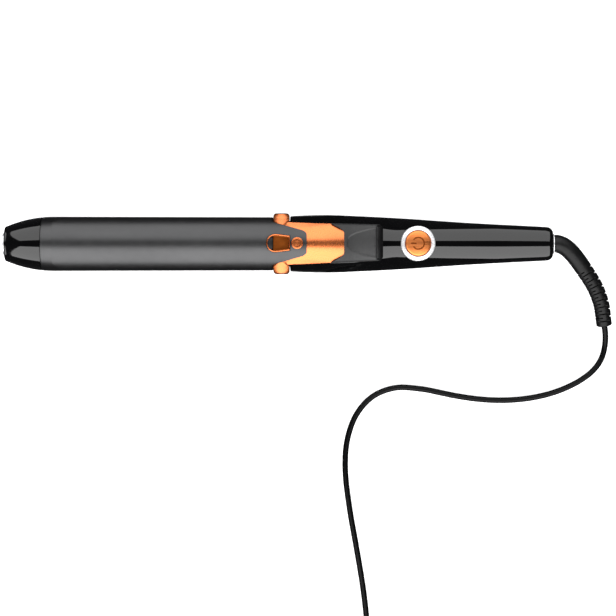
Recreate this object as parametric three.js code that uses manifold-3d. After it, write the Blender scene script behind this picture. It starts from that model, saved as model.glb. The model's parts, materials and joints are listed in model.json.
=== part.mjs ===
// Curling iron with a spring clamp, a round power button, a flip-out stand and a swivel mains cord.
// Millimetres. +X runs from the barrel's tip to the handle's end, +Z is the clamp's side.
// The origin is under the middle of the iron, on the surface that it lies on.
import * as THREE from 'three';
import { mergeVertices } from 'three/addons/utils/BufferGeometryUtils.js';
import Module from 'manifold-3d';

const wasm = await Module();
wasm.setup();

// ---- driving dimensions -------------------------------------------------------------------

const BARREL_R = 16.1;            // 32 mm barrel
const BARREL_REAR_R = 15.8;
const BARREL_BORE_R = 14.9;
const AXIS_Z = BARREL_R;          // the barrel lies on the table, level with the folded stand
const TIP_X = -163.7;             // front of the tip disc
const CAP_X = -162.2;             // front of the tip cap
const CAP_REAR_X = -140.2;
const BARREL_FRONT_X = -140.0;
const BARREL_REAR_X = -4.2;
const SPOON_FRONT_X = -133.2;
const SPOON_INNER_R = 16.4;
const SPOON_THICK = 0.8;
const SPOON_HALF_ANGLE = 60;      // degrees either side of the top
const TONGUE_END_X = 16.8;
const PIVOT_X = 1.9;
const EAR_R = 4.8;
const EAR_HALF_Y = 18;
const NOSE_R = 13.6;
const HANDLE_X = 7.3;             // where the handle gets its full width, behind the ears
const HANDLE_END_X = 162.9;
const WALL = 2;
const OPEN_ANGLE = 11;            // clamp travel in degrees, for the clearances under the lever
const BUTTON_X = 82.6;
const BUTTON_TILT = 5;            // degrees, the button's face follows the falling handle top
const RING_R = 10.3;
const BUTTON_R = 7.5;
const BUTTON_Z = AXIS_Z + 12.7;   // rim of the ring, at its middle
const BOARD_FRONT_X = 66;
const BOARD_REAR_X = 126;
const BOARD_TOP_Z = AXIS_Z - 2;
const STAND_HINGE_X = 13;
const STAND_HINGE_Z = 3.5;
const STAND_END_X = 52;
const SWIVEL_END_X = 163.7;       // rear of the silver collar
const BOOT_TILT = 13;             // degrees, the elbow's end droops to the table
const CORD_D = 3.5;
const CORD_R = CORD_D / 2;
const GAP = 0.3;                  // between pieces that touch

// Handle sections: station x, half width, height above the axis, depth below the axis.
const HANDLE_SECTIONS = [
  [HANDLE_X, 16.5, 9.8, 12.5],
  [20, 17, 10, 12.5],
  [33, 17.05, 10.4, 12.5],
  [45, 16.55, 11.5, 12.8],
  [62, 15.75, 12.8, 13.2],
  [80, 14.7, 12.6, 13.2],
  [94, 13.7, 11.6, 12.6],
  [113, 12.45, 10.6, 11.8],
  [132, 11.4, 9.8, 10.9],
  [151, 10.45, 9.1, 10.1],
  [158.5, 10.05, 8.8, 9.8],
  [161.6, 8.9, 7.8, 8.8],
  [HANDLE_END_X, 6.2, 5.6, 6.2],
];

// Elbow of the strain relief, in its own plane: x, and the distance out from the axis.
const BOOT_PATH = [[164.1, 0], [166.2, 0.05], [170, 1.7], [174, 5.1], [178.2, 10.2], [182.9, 16.9],
  [187.5, 24], [190.7, 30.6], [193.1, 38], [194.9, 49.6]];

// Route of the cord on the table, from the strain relief to the coil.
const LEAD_ROUTE = [[195, -48.7, 4.85], [195.8, -54, 3.6], [195.6, -61, 2.3], [193.6, -68.5, 1.8],
  [189.2, -75], [182.7, -80.4], [173.7, -85.4], [162.3, -89.6], [149.5, -92.3], [136.5, -93.4],
  [122.4, -93], [108, -91.1], [97, -88.9], [84.9, -86.6], [70, -86], [56.4, -91.2], [46.4, -102.4],
  [41, -118], [40, -136], [42.5, -158], [46.5, -181], [50.5, -205], [53, -227], [53.7, -240]];

const COIL_X = 30.2;
const COIL_Y = -255;
const COIL_R = 20;                // mean radius of the turns
const COIL_WIDE = 3;              // turns side by side
const COIL_HIGH = 4;              // turns on top of each other
const COIL_Z = 1;                 // underside of the turns, on the tie's strap
const TIE_THICK = 0.7;
const PLUG_X = -12;               // cord end of the plug body
const PLUG_Y = -278.5;
const PLUG_LENGTH = 35;
const PLUG_THICK = 14;
const PIN_GAP = 19;
const PIN_R = 2;
const PIN_LENGTH = 19;

// ---- materials ----------------------------------------------------------------------------

const finish = (color, roughness, metalness) =>
  new THREE.MeshStandardMaterial({ color, roughness, metalness });
const SATIN_GREY = finish(0x8a8a8c, 0.38, 0.85);
const GLOSS_BLACK = finish(0x060607, 0.12, 0);
const COPPER = finish(0xd98045, 0.3, 0.9);
const SILVER = finish(0xd8d8da, 0.22, 1);
const PAD_GREY = finish(0x4a4a4b, 0.55, 0);
const RUBBER = finish(0x141415, 0.5, 0);
const STEEL = finish(0xb4b4b6, 0.3, 1);
const ALUMINIUM = finish(0xc2c4c7, 0.4, 1);
const BRASS = finish(0xc9a24f, 0.3, 1);
const CERAMIC = finish(0xe9e5da, 0.6, 0);
const BOARD_GREEN = finish(0x1f5b35, 0.5, 0);
const DARK_PLASTIC = finish(0x1d1d1f, 0.45, 0);
const LEAD_RED = finish(0x9c2f25, 0.5, 0);

// ---- helpers ------------------------------------------------------------------------------

const iron = new THREE.Group();

function addPiece(name, geometry, material, parent = iron) {
  const mesh = new THREE.Mesh(geometry, material);
  mesh.name = name;
  parent.add(mesh);
  return mesh;
}

// Keeps positions only, joins shared vertices, drops flat triangles and turns the faces outwards.
function closed(geometry) {
  const bare = new THREE.BufferGeometry();
  bare.setAttribute('position', geometry.getAttribute('position').clone());
  if (geometry.index) bare.setIndex(geometry.index.clone());
  const merged = mergeVertices(bare, 1e-4);
  const old = merged.index.array;
  const kept = [];
  for (let i = 0; i < old.length; i += 3) {
    const [a, b, c] = [old[i], old[i + 1], old[i + 2]];
    if (a !== b && b !== c && c !== a) kept.push(a, b, c);
  }
  if (signedVolume(merged.getAttribute('position'), kept) < 0) kept.reverse();
  merged.setIndex(kept);
  return merged;
}

function signedVolume(position, triangles) {
  const [a, b, c] = [new THREE.Vector3(), new THREE.Vector3(), new THREE.Vector3()];
  let sum = 0;
  for (let i = 0; i < triangles.length; i += 3) {
    a.fromBufferAttribute(position, triangles[i]);
    b.fromBufferAttribute(position, triangles[i + 1]);
    c.fromBufferAttribute(position, triangles[i + 2]);
    sum += a.dot(b.cross(c));
  }
  return sum / 6;
}

function solid(geometry) {
  const clean = closed(geometry);
  const vertProperties = new Float32Array(clean.getAttribute('position').array);
  const triVerts = new Uint32Array(clean.index.array);
  return new wasm.Manifold(new wasm.Mesh({ numProp: 3, vertProperties, triVerts }));
}

function shell(manifold) {
  const mesh = manifold.getMesh();
  const geometry = new THREE.BufferGeometry();
  geometry.setAttribute('position', new THREE.BufferAttribute(new Float32Array(mesh.vertProperties), 3));
  geometry.setIndex(Array.from(mesh.triVerts));
  return geometry;
}

// A profile of [x, radius] points turned about the iron's own axis.
function turnedX(points, segments = 32) {
  const profile = points.map(([x, r]) => new THREE.Vector2(r, x));
  const geometry = new THREE.LatheGeometry(profile, segments);
  geometry.rotateZ(-Math.PI / 2);
  return closed(geometry.translate(0, 0, AXIS_Z));
}

// A profile of [radius, z] points turned about a vertical line.
function turnedZ(points, segments = 32) {
  const profile = points.map(([r, z]) => new THREE.Vector2(r, z));
  const geometry = new THREE.LatheGeometry(profile, segments);
  return closed(geometry.rotateX(Math.PI / 2));
}

// A polygon, always wound the same way, so that one can be a hole in another.
function outline(points) {
  const corners = points.map(([u, v]) => new THREE.Vector2(u, v));
  if (THREE.ShapeUtils.isClockWise(corners)) corners.reverse();
  return new THREE.Shape(corners);
}

// A side view of [x, z] points, as wide as y from -half to +half.
function sideSlab(shape, half, curveSegments = 8) {
  const options = { depth: 2 * half, bevelEnabled: false, curveSegments };
  const geometry = new THREE.ExtrudeGeometry(shape, options);
  geometry.rotateX(Math.PI / 2);
  return closed(geometry.translate(0, half, 0));
}

// A plan view of [x, y] points, from z low to z high.
function planSlab(shape, low, high, curveSegments = 8) {
  const options = { depth: high - low, bevelEnabled: false, curveSegments };
  return closed(new THREE.ExtrudeGeometry(shape, options).translate(0, 0, low));
}

// A cross-section of [y, z] points, from x low to x high.
function endSlab(shape, low, high, curveSegments = 8) {
  const options = { depth: high - low, bevelEnabled: false, curveSegments };
  const geometry = new THREE.ExtrudeGeometry(shape, options);
  geometry.rotateX(Math.PI / 2).rotateZ(Math.PI / 2);
  return closed(geometry.translate(low, 0, 0));
}

function block(x0, x1, y0, y1, z0, z1) {
  const geometry = new THREE.BoxGeometry(x1 - x0, y1 - y0, z1 - z0);
  return closed(geometry.translate((x0 + x1) / 2, (y0 + y1) / 2, (z0 + z1) / 2));
}

function rod(radius, from, to, segments = 20) {
  const [a, b] = [new THREE.Vector3(...from), new THREE.Vector3(...to)];
  const direction = b.clone().sub(a);
  const geometry = new THREE.CylinderGeometry(radius, radius, direction.length(), segments);
  const upright = new THREE.Vector3(0, 1, 0);
  const turn = new THREE.Quaternion().setFromUnitVectors(upright, direction.clone().normalize());
  geometry.applyQuaternion(turn);
  return closed(geometry.translate(...a.add(b).multiplyScalar(0.5).toArray()));
}

function circle(radius, sides) {
  const shape = new THREE.Shape();
  for (let i = 0; i < sides; i++) {
    const angle = (2 * Math.PI * i) / sides;
    if (i === 0) shape.moveTo(radius, 0);
    else shape.lineTo(radius * Math.cos(angle), radius * Math.sin(angle));
  }
  return shape;
}

function tube(points, radius, sides, steps) {
  const curve = new THREE.CatmullRomCurve3(points.map((p) => new THREE.Vector3(...p)));
  const sweep = { steps, extrudePath: curve, bevelEnabled: false };
  return closed(new THREE.ExtrudeGeometry(circle(radius, sides), sweep));
}

// ---- barrel and tip -----------------------------------------------------------------------

const TIP_ARC_R = 72;             // side view of the tip: one arc, tangent to the barrel

function tipRadius(x) {
  const ahead = Math.min(0, x - SPOON_FRONT_X);
  return BARREL_R - TIP_ARC_R + Math.sqrt(TIP_ARC_R ** 2 - ahead ** 2);
}

function makeTip() {
  const stemBore = 3.2;
  const spigotEnd = CAP_REAR_X + 8;
  const outside = [[CAP_X, stemBore], [CAP_X, 9.1], [CAP_X + 0.4, 9.8]];
  const steps = 4;
  for (let i = 0; i <= steps; i++) {
    const x = CAP_X + 1.2 + ((CAP_REAR_X - CAP_X - 1.2) * i) / steps;
    outside.push([x, tipRadius(x)]);
  }
  const inside = [[CAP_REAR_X, 14.5], [spigotEnd, 14.5], [spigotEnd, 12.6], [CAP_REAR_X, 12.6],
    [CAP_X + 5, 8.4], [CAP_X + 2.2, 6.8], [CAP_X + 2.2, stemBore], [CAP_X, stemBore]];
  addPiece('tip_cap', turnedX([...outside, ...inside], 32), GLOSS_BLACK);
  const discBack = CAP_X - GAP;
  const disc = [[TIP_X, 0], [TIP_X, 5.9], [TIP_X + 0.5, 6.5], [discBack, 6.5], [discBack, 2.9],
    [CAP_X + 4, 2.9], [CAP_X + 4, 0]];
  addPiece('tip_disc', turnedX(disc, 20), SILVER);
}

function makeBarrel() {
  const outside = [[BARREL_FRONT_X, tipRadius(BARREL_FRONT_X)], [-136.6, tipRadius(-136.6)],
    [SPOON_FRONT_X, BARREL_R], [BARREL_REAR_X, BARREL_REAR_R]];
  const inside = [[BARREL_REAR_X, BARREL_BORE_R], [BARREL_FRONT_X, BARREL_BORE_R]];
  addPiece('barrel_tube', turnedX([...outside, ...inside, outside[0]], 36), SATIN_GREY);
  const bore = 6;
  const collar = [[-22, bore], [-22, BARREL_BORE_R - GAP], [BARREL_REAR_X + 0.2, BARREL_BORE_R - GAP],
    [BARREL_REAR_X + 0.2, 15.4], [-3.4, 15.4], [-3.4, 10.4], [4.8, 10.4], [4.8, bore], [-22, bore]];
  addPiece('barrel_collar', turnedX(collar, 24), DARK_PLASTIC);
}

// ---- heater -------------------------------------------------------------------------------

const HEATER_FRONT_X = -126;
const HEATER_REAR_X = -46;
const HEATER_FLAT = 2.4;          // half the gap between the two shells

function heaterShellShape(side) {
  const arc = (radius, flat) => {
    const start = Math.asin(flat / radius);
    const points = [];
    const steps = 12;
    for (let i = 0; i <= steps; i++) {
      const angle = start + ((Math.PI - 2 * start) * i) / steps;
      points.push([radius * Math.cos(angle), side * radius * Math.sin(angle)]);
    }
    return points;
  };
  const shape = outline(arc(14.5, HEATER_FLAT));
  shape.holes.push(outline(arc(12.4, HEATER_FLAT + 1.8)));
  return shape;
}

function makeHeater() {
  for (const [name, side] of [['heater_shell_upper', 1], ['heater_shell_lower', -1]]) {
    const half = endSlab(heaterShellShape(side), HEATER_FRONT_X, HEATER_REAR_X);
    addPiece(name, half.translate(0, 0, AXIS_Z), ALUMINIUM);
  }
  const ptc = block(HEATER_FRONT_X + 3, HEATER_REAR_X - 2, -9, 9, AXIS_Z - 0.8, AXIS_Z + 2.1);
  addPiece('ptc_heater', ptc, CERAMIC);
  const [top, bottom] = [[], []];
  const waves = 8;
  for (let i = 0; i <= 2 * waves; i++) {
    const x = HEATER_FRONT_X + 6 + (i * 68) / (2 * waves);
    const z = AXIS_Z + (i % 2 ? -1.5 : -2.1);
    bottom.push([x, z]);
    top.unshift([x, z + 0.4]);
  }
  addPiece('heater_spring', sideSlab(outline([...bottom, ...top]), 5), STEEL);
  addPiece('temperature_sensor', rod(1.4, [-72, 0, AXIS_Z + 7], [-62, 0, AXIS_Z + 7], 12), DARK_PLASTIC);
  addPiece('thermal_fuse', rod(2, [-42, 3, AXIS_Z], [-28, 3, AXIS_Z], 14), STEEL);
  const boardEdge = BOARD_FRONT_X - 0.6;
  const wires = [['heater_lead_live', 1, -27.6], ['heater_lead_neutral', -1, HEATER_REAR_X + 0.8]];
  for (const [name, side, start] of wires) {
    const route = [[start, 3 * side, AXIS_Z], [-8, 3 * side, AXIS_Z], [8, 3 * side, AXIS_Z],
      [20, 5.8 * side, AXIS_Z - 2], [50, 6 * side, AXIS_Z - 2], [boardEdge, 5 * side, AXIS_Z - 2.6]];
    addPiece(name, tube(route, 0.9, 6, 14), side > 0 ? LEAD_RED : DARK_PLASTIC);
  }
}

// ---- handle -------------------------------------------------------------------------------

const SCREW_X = [27, 58, 134];
const NOSE_X = -3;
const NOSE_TOP = 12.2;            // the nose is lower on top, so that the lever's saddle clears it
const SIDES = 28;

// A closed skin through cross-sections of [x, half width, height, depth], rounded like a pebble.
function loft(sections, roundness) {
  const rows = sections.length - 1;
  const geometry = new THREE.CylinderGeometry(1, 1, 1, SIDES, rows);
  const position = geometry.getAttribute('position');
  const bulge = (value) => Math.sign(value) * Math.abs(value) ** (2 / roundness);
  for (let i = 0; i < position.count; i++) {
    const row = Math.round((0.5 - position.getY(i)) * rows);
    const [x, width, height, depth] = sections[row];
    const up = position.getX(i);
    const side = position.getZ(i);
    const crowned = roundness !== 2 && up > 0 && Math.hypot(up, side) > 0.5;
    const [y, z] = crowned ? crownPoint(x, width, height, Math.atan2(up, Math.abs(side)))
      : [width * bulge(Math.abs(side)), (up > 0 ? height : depth) * bulge(up)];
    position.setXYZ(i, x, Math.sign(side) * y, AXIS_Z + z);
  }
  return closed(geometry);
}

// Upper half of a section, from the seam at angle 0 to the top: a steepening flank, then a round crown.
function crownPoint(x, width, height, angle) {
  const middle = mix(1, 0.76, Math.min(1, Math.max(0, (x - 45) / 24)));
  const crownRadius = width * (middle + 0.39 * Math.min(1, Math.max(0, (x - 69) / 60)));
  const kneeAngle = Math.PI / 4;
  let lean = Math.PI / 4;
  const kneeY = () => crownRadius * Math.sin(lean);
  const kneeZ = () => height - crownRadius * (1 - Math.cos(lean));
  const controlZ = () => kneeZ() - (width - kneeY()) * Math.tan(lean);
  while (lean > 0.1 && (controlZ() < 0 || kneeY() > 0.92 * width)) lean -= 0.01;
  if (angle > kneeAngle) {
    const tilt = lean * (Math.PI / 2 - angle) / (Math.PI / 2 - kneeAngle);
    return [crownRadius * Math.sin(tilt), height - crownRadius * (1 - Math.cos(tilt))];
  }
  const t = angle / kneeAngle;
  const y = (1 - t * t) * width + t * t * kneeY();
  return [y, 2 * t * (1 - t) * controlZ() + t * t * kneeZ()];
}

function handleOuter() {
  const nose = [[NOSE_X, NOSE_R - 0.4, NOSE_TOP - 0.4, NOSE_R - 0.4],
    [NOSE_X + 0.5, NOSE_R, NOSE_TOP, NOSE_R],
    [HANDLE_X + 1, NOSE_R, NOSE_TOP, NOSE_R]];
  return solid(loft(HANDLE_SECTIONS, 2.15)).add(solid(loft(nose, 2)));
}

function handleInner() {
  const cavity = HANDLE_SECTIONS.slice(1, -3).map(([x, w, h, d]) => [x, w - WALL, h - WALL, d - WALL]);
  const [, width, height, depth] = cavity[0];
  cavity.unshift([HANDLE_X + WALL, width - 1.5, height - 0.6, depth - 0.6]);
  const last = cavity[cavity.length - 1];
  cavity.push([156.5, last[1] - 0.9, last[2] - 0.8, last[3] - 0.8]);
  return solid(loft(cavity, 2.15));
}

function buttonAxisPoint(distance) {
  const tilt = THREE.MathUtils.degToRad(BUTTON_TILT);
  return [BUTTON_X + distance * Math.sin(tilt), 0, BUTTON_Z + distance * Math.cos(tilt)];
}

function makeHandle() {
  const noseBore = solid(rod(10.7, [NOSE_X - 1, 0, AXIS_Z], [HANDLE_X - 2, 0, AXIS_Z], 32));
  const wireway = solid(rod(4.6, [0, 0, AXIS_Z], [HANDLE_X + 6, 0, AXIS_Z], 20));
  const tailBore = solid(rod(4.4, [150, 0, AXIS_Z], [HANDLE_END_X + 1, 0, AXIS_Z], 24));
  const pinBore = solid(rod(1.65, [PIVOT_X, -20, AXIS_Z], [PIVOT_X, 20, AXIS_Z], 16));
  // The shoulder behind the ears leans back, because the saddle leans back as the clamp opens.
  const lean = Math.tan(THREE.MathUtils.degToRad(OPEN_ANGLE + 2));
  const relief = outline([[HANDLE_X - 4, AXIS_Z], [HANDLE_X - 0.2, AXIS_Z],
    [HANDLE_X + 20 * lean, AXIS_Z + 20],
    [HANDLE_X - 4, AXIS_Z + 20]]);
  const shoulder = solid(sideSlab(relief, 20)).subtract(solid(block(-20, 40, -NOSE_R, NOSE_R, 0, 60)));
  const wholeOuter = handleOuter().subtract(shoulder);
  const whole = wholeOuter.subtract(handleInner()).subtract(noseBore).subtract(wireway)
    .subtract(tailBore).subtract(pinBore);

  const seam = 0.15;
  let upper = whole.intersect(solid(block(-10, 170, -30, 30, AXIS_Z + seam, 60)));
  const ringHole = solid(rod(RING_R + GAP, buttonAxisPoint(-9), buttonAxisPoint(8), 36));
  upper = upper.subtract(ringHole);
  let lower = whole.intersect(solid(block(-10, 170, -30, 30, -10, AXIS_Z - seam)));
  const inOuter = handleOuter();
  for (const x of SCREW_X) {
    const post = solid(rod(3.1, [x, 0, AXIS_Z + seam], [x, 0, AXIS_Z + 14], 16)).intersect(inOuter);
    upper = upper.add(post).subtract(solid(rod(1.4, [x, 0, 0], [x, 0, AXIS_Z + 4.6], 12)));
    const foot = solid(rod(3.4, [x, 0, 0], [x, 0, AXIS_Z - seam], 16)).intersect(inOuter);
    lower = lower.add(foot).subtract(solid(rod(1.5, [x, 0, -1], [x, 0, AXIS_Z], 12)));
    lower = lower.subtract(solid(rod(2.7, [x, 0, -1], [x, 0, AXIS_Z - 8.5], 16)));
  }
  for (const x of [BOARD_FRONT_X + 5, BOARD_REAR_X - 4]) {
    const post = rod(2, [x, 0, 0], [x, 0, BOARD_TOP_Z - 1.6 - GAP], 14);
    lower = lower.add(solid(post).intersect(inOuter));
  }
  lower = lower.add(standHousing().intersect(solid(block(8, 20, -12, 12, 1, 9)))).subtract(standRecess());
  addPiece('handle_upper', shell(upper), GLOSS_BLACK);
  addPiece('handle_lower', shell(lower), GLOSS_BLACK);
  SCREW_X.forEach((x, i) => {
    const bottom = AXIS_Z - 8.5 - GAP;
    const profile = [[0, bottom - 1.6], [2.4, bottom - 1.6], [2.4, bottom], [1.2, bottom],
      [1.2, AXIS_Z + 4], [0, AXIS_Z + 4]];
    addPiece(`handle_screw_${i + 1}`, turnedZ(profile, 10).translate(x, 0, 0), STEEL);
  });
}

// ---- stand --------------------------------------------------------------------------------

const STAND_NECK = 8;             // half width of the hinge knuckle
const STAND_HALF = 11;
const STAND_THICK = 2.4;

function standHousing() {
  const pocket = solid(block(8.2, 18.6, -10.6, 10.6, 4.2, 8.8));
  const lug = outline([[9.8, 1.4], [16.2, 1.4], [17, 5], [9, 5]]);
  return pocket.add(solid(sideSlab(lug, 10.6)));
}

function standRecess() {
  const room = solid(block(9.3, 17.4, -STAND_NECK - GAP, STAND_NECK + GAP, -1, 7.1));
  const bore = rod(1.4, [STAND_HINGE_X, -12, STAND_HINGE_Z], [STAND_HINGE_X, 12, STAND_HINGE_Z], 14);
  return room.add(solid(bore));
}

function makeStand() {
  const corner = 4;
  const plan = new THREE.Shape();
  plan.moveTo(STAND_HINGE_X, -STAND_NECK);
  plan.lineTo(17.6, -STAND_NECK);
  plan.lineTo(17.6, -STAND_HALF);
  plan.lineTo(STAND_END_X - corner, -STAND_HALF);
  plan.absarc(STAND_END_X - corner, -STAND_HALF + corner, corner, -Math.PI / 2, 0);
  plan.absarc(STAND_END_X - corner, STAND_HALF - corner, corner, 0, Math.PI / 2);
  plan.lineTo(17.6, STAND_HALF);
  plan.lineTo(17.6, STAND_NECK);
  plan.lineTo(STAND_HINGE_X, STAND_NECK);
  const at = (y) => [STAND_HINGE_X, y, STAND_HINGE_Z];
  const plate = solid(planSlab(plan, 0, STAND_THICK)).subtract(solid(block(0, 16, -20, 20, -1, 0.6)));
  const knuckle = solid(rod(2.9, at(-STAND_NECK), at(STAND_NECK), 20));
  const leg = plate.add(knuckle).subtract(solid(rod(1.45, at(-20), at(20), 14)));
  addPiece('stand', shell(leg), DARK_PLASTIC);
  addPiece('stand_pin', rod(1.2, at(-10.4), at(10.4), 14), STEEL);
}

// ---- clamp --------------------------------------------------------------------------------

const STUD_X = 11.2;
const LEVER_THICK = 1.6;
const LEVER_FLAT_END_X = 17.5;    // the lever follows the tongue up to here, then rises
const LEVER_END_X = 57.8;
const PAD_END_X = 61.3;
const SADDLE_R = 15.95;
const SLOT_R = 5.5;
const SLOT_ROUND_X = -1.6;
const SLOT_END_X = 7.2;
const SLOT_END_HALF = 4.5;

const smooth = (t) => t * t * (3 - 2 * t);
const mix = (a, b, t) => a + (b - a) * t;

// Height of the lever's crown above the axis.
function crown(x) {
  const t = Math.max(0, (x - LEVER_FLAT_END_X) / (LEVER_END_X - LEVER_FLAT_END_X));
  return SADDLE_R + 11.6 * mix(t, smooth(Math.min(1, t)), 0.45);
}

const leverHalfWidth = (x) => mix(12.6, 10.5, Math.max(0, (x - 6.7) / (PAD_END_X - 6.7)));

function archDrop(x, y) {
  const radius = mix(SADDLE_R, 23, Math.min(1, Math.max(0, (x - LEVER_FLAT_END_X) / 36)));
  return radius - Math.sqrt(radius ** 2 - y ** 2);
}

// An arched plate over the handle: u runs from x low to x high, v from -1 to 1 across the width.
function archedPlate(low, high, lengthSteps, widthSteps, halfWidth, topAt, bottomAt) {
  const geometry = new THREE.BoxGeometry(1, 2, 1, lengthSteps, widthSteps, 1);
  const position = geometry.getAttribute('position');
  for (let i = 0; i < position.count; i++) {
    const x = mix(low, high, position.getX(i) + 0.5);
    const v = position.getY(i);
    const y = v * halfWidth(x);
    const height = position.getZ(i) > 0 ? topAt(x, v) : bottomAt(x, v);
    position.setXYZ(i, x, y, AXIS_Z + height - archDrop(x, y));
  }
  return closed(geometry);
}

function slotShape(inset) {
  const shape = new THREE.Shape();
  const turn = Math.PI * 0.46;
  shape.absarc(SLOT_ROUND_X, 0, SLOT_R - inset, turn, -turn + 2 * Math.PI, false);
  shape.lineTo(SLOT_END_X - inset, -SLOT_END_HALF + inset);
  shape.lineTo(SLOT_END_X - inset, SLOT_END_HALF - inset);
  shape.closePath();
  return shape;
}

function makeSpoon() {
  const inner = SPOON_INNER_R;
  const outer = inner + SPOON_THICK;
  const side = outer * Math.sin(THREE.MathUtils.degToRad(SPOON_HALF_ANGLE));
  const sheet = [[SPOON_FRONT_X, inner], [SPOON_FRONT_X, outer], [TONGUE_END_X, outer],
    [TONGUE_END_X, inner], [SPOON_FRONT_X, inner]];
  const edge = [[SPOON_FRONT_X - 1, -side + 2.9], [SPOON_FRONT_X, -side + 2.9],
    [SPOON_FRONT_X + 2.6, -side + 0.6], [SPOON_FRONT_X + 5, -side],
    [-4.4, -side], [-3.2, -12.6], [14.7, -7.5], [TONGUE_END_X + 1, -5]];
  const plan = outline([...edge, ...edge.map(([x, y]) => [x, -y]).reverse()]);
  const blank = solid(turnedX(sheet, 72)).intersect(solid(planSlab(plan, AXIS_Z + 5, AXIS_Z + 25)));
  const slot = solid(planSlab(slotShape(0), AXIS_Z, AXIS_Z + 30));
  const studHole = solid(rod(1.8, [STUD_X, 0, AXIS_Z], [STUD_X, 0, AXIS_Z + 30], 16));
  addPiece('clamp_spoon', shell(blank.subtract(slot).subtract(studHole)), SATIN_GREY);
}

function earSolid(side) {
  const profile = [[0, 10], [12.3, 10], [11, 11.7], [9.1, 14], [7.4, 16], [6.5, 16.8],
    [5.3, 17.4], [3.7, 17.8], [0, EAR_HALF_Y]];
  const geometry = turnedZ(profile, 24);
  geometry.rotateX(side > 0 ? -Math.PI / 2 : Math.PI / 2);
  const front = PIVOT_X - EAR_R;
  const rear = PIVOT_X + EAR_R;
  const under = rod(EAR_R, [PIVOT_X, -20, AXIS_Z], [PIVOT_X, 20, AXIS_Z], 24);
  const strap = solid(under).add(solid(block(front, rear, -20, 20, AXIS_Z, AXIS_Z + 14)));
  const core = solid(rod(14.1, [front - 1, 0, AXIS_Z], [rear + 1, 0, AXIS_Z], 48));
  return solid(geometry.translate(PIVOT_X, 0, AXIS_Z)).intersect(strap).subtract(core);
}

function makeLever() {
  const low = PIVOT_X - EAR_R;
  const high = PIVOT_X + EAR_R;
  const saddleInner = 14.1;
  const saddleRear = high - 0.6;
  const ring = [[low, saddleInner], [low, SADDLE_R], [saddleRear, SADDLE_R], [saddleRear, saddleInner],
    [low, saddleInner]];
  let lever = solid(turnedX(ring, 36)).intersect(solid(block(-10, 20, -20, 20, AXIS_Z + 1, 60)));
  const plate = archedPlate(high - 1, LEVER_END_X, 12, 8, leverHalfWidth,
    (x) => crown(x) - 0.2, (x) => crown(x) - LEVER_THICK);
  lever = lever.add(solid(plate));
  const rimOutside = solid(planSlab(slotShape(0.25), AXIS_Z + 15.5, AXIS_Z + 17.9));
  const rimInside = solid(planSlab(slotShape(1.4), AXIS_Z + 10, AXIS_Z + 20));
  const overBarrel = solid(block(-20, low, -20, 20, 0, AXIS_Z + 16.3));
  lever = lever.add(rimOutside.subtract(rimInside).subtract(overBarrel));
  const pocket = solid(planSlab(slotShape(1.55), AXIS_Z + 15.2, AXIS_Z + 20));
  lever = lever.subtract(pocket);
  for (const side of [-1, 1]) {
    lever = lever.add(earSolid(side));
    const bore = rod(1.65, [PIVOT_X, side * 10, AXIS_Z], [PIVOT_X, side * 17, AXIS_Z], 16);
    lever = lever.subtract(solid(bore));
  }
  const studHole = solid(rod(1.8, [STUD_X, 0, AXIS_Z], [STUD_X, 0, AXIS_Z + 30], 16));
  addPiece('lever', shell(lever.subtract(studHole)), COPPER);
}

function makeThumbPad() {
  const front = 30;
  const thick = (x, v) => {
    const scoop = Math.max(0, 1 - ((x - 50.5) / 9.5) ** 2) * Math.max(0, 1 - (v / 0.72) ** 4);
    const lip = smooth(Math.min(1, Math.max(0, (x - 57) / 3)));
    return mix(1.6, 2.8, Math.min(1, (x - front) / 14)) + 0.9 * lip - 1.1 * scoop;
  };
  const pad = solid(archedPlate(front, PAD_END_X, 12, 8, leverHalfWidth,
    (x, v) => crown(x) + GAP + thick(x, v), (x) => crown(x) + GAP));
  // The lever's chamfered end shows through a notch in the pad's front.
  const notch = outline([[front - 5, -15], [front + 1.5, -11.2], [37.5, -8.2], [39.6, -6.6],
    [39.6, 6.6], [37.5, 8.2], [front + 1.5, 11.2], [front - 5, 15]]);
  addPiece('thumb_pad', shell(pad.subtract(solid(planSlab(notch, 0, 60)))), PAD_GREY);
}

function makeClampFasteners() {
  const head = AXIS_Z + SPOON_INNER_R + SPOON_THICK + GAP;
  const under = AXIS_Z + SADDLE_R - LEVER_THICK - GAP;
  const profile = [[0, under - 1], [2.6, under - 1], [2.6, under], [1.5, under], [1.5, head], [3.5, head],
    [3.5, head + 0.5], [2.7, head + 1], [0, head + 1.15]];
  addPiece('clamp_stud', turnedZ(profile, 16).translate(STUD_X, 0, 0), COPPER);
  for (const [name, side] of [['pivot_pin_left', 1], ['pivot_pin_right', -1]]) {
    addPiece(name, rod(1.5, [PIVOT_X, side * 11.2, AXIS_Z], [PIVOT_X, side * 16.7, AXIS_Z], 16), STEEL);
  }
  const springX = 24;
  const base = AXIS_Z + 10.4;
  const top = AXIS_Z + crown(springX) - LEVER_THICK - 0.9;
  addPiece('clamp_spring', helix(springX, 3.4, base, top, 0.45, 3, 8), STEEL);
}

// A coil spring about a vertical line.
function helix(x, radius, low, high, wire, turns, stepsPerTurn) {
  const points = [];
  for (let i = 0; i <= turns * stepsPerTurn; i++) {
    const angle = (2 * Math.PI * i) / stepsPerTurn;
    const z = mix(low + wire, high - wire, i / (turns * stepsPerTurn));
    points.push([x + radius * Math.cos(angle), radius * Math.sin(angle), z]);
  }
  return tube(points, wire, 5, turns * stepsPerTurn);
}

// ---- power button and electronics ---------------------------------------------------------

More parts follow.
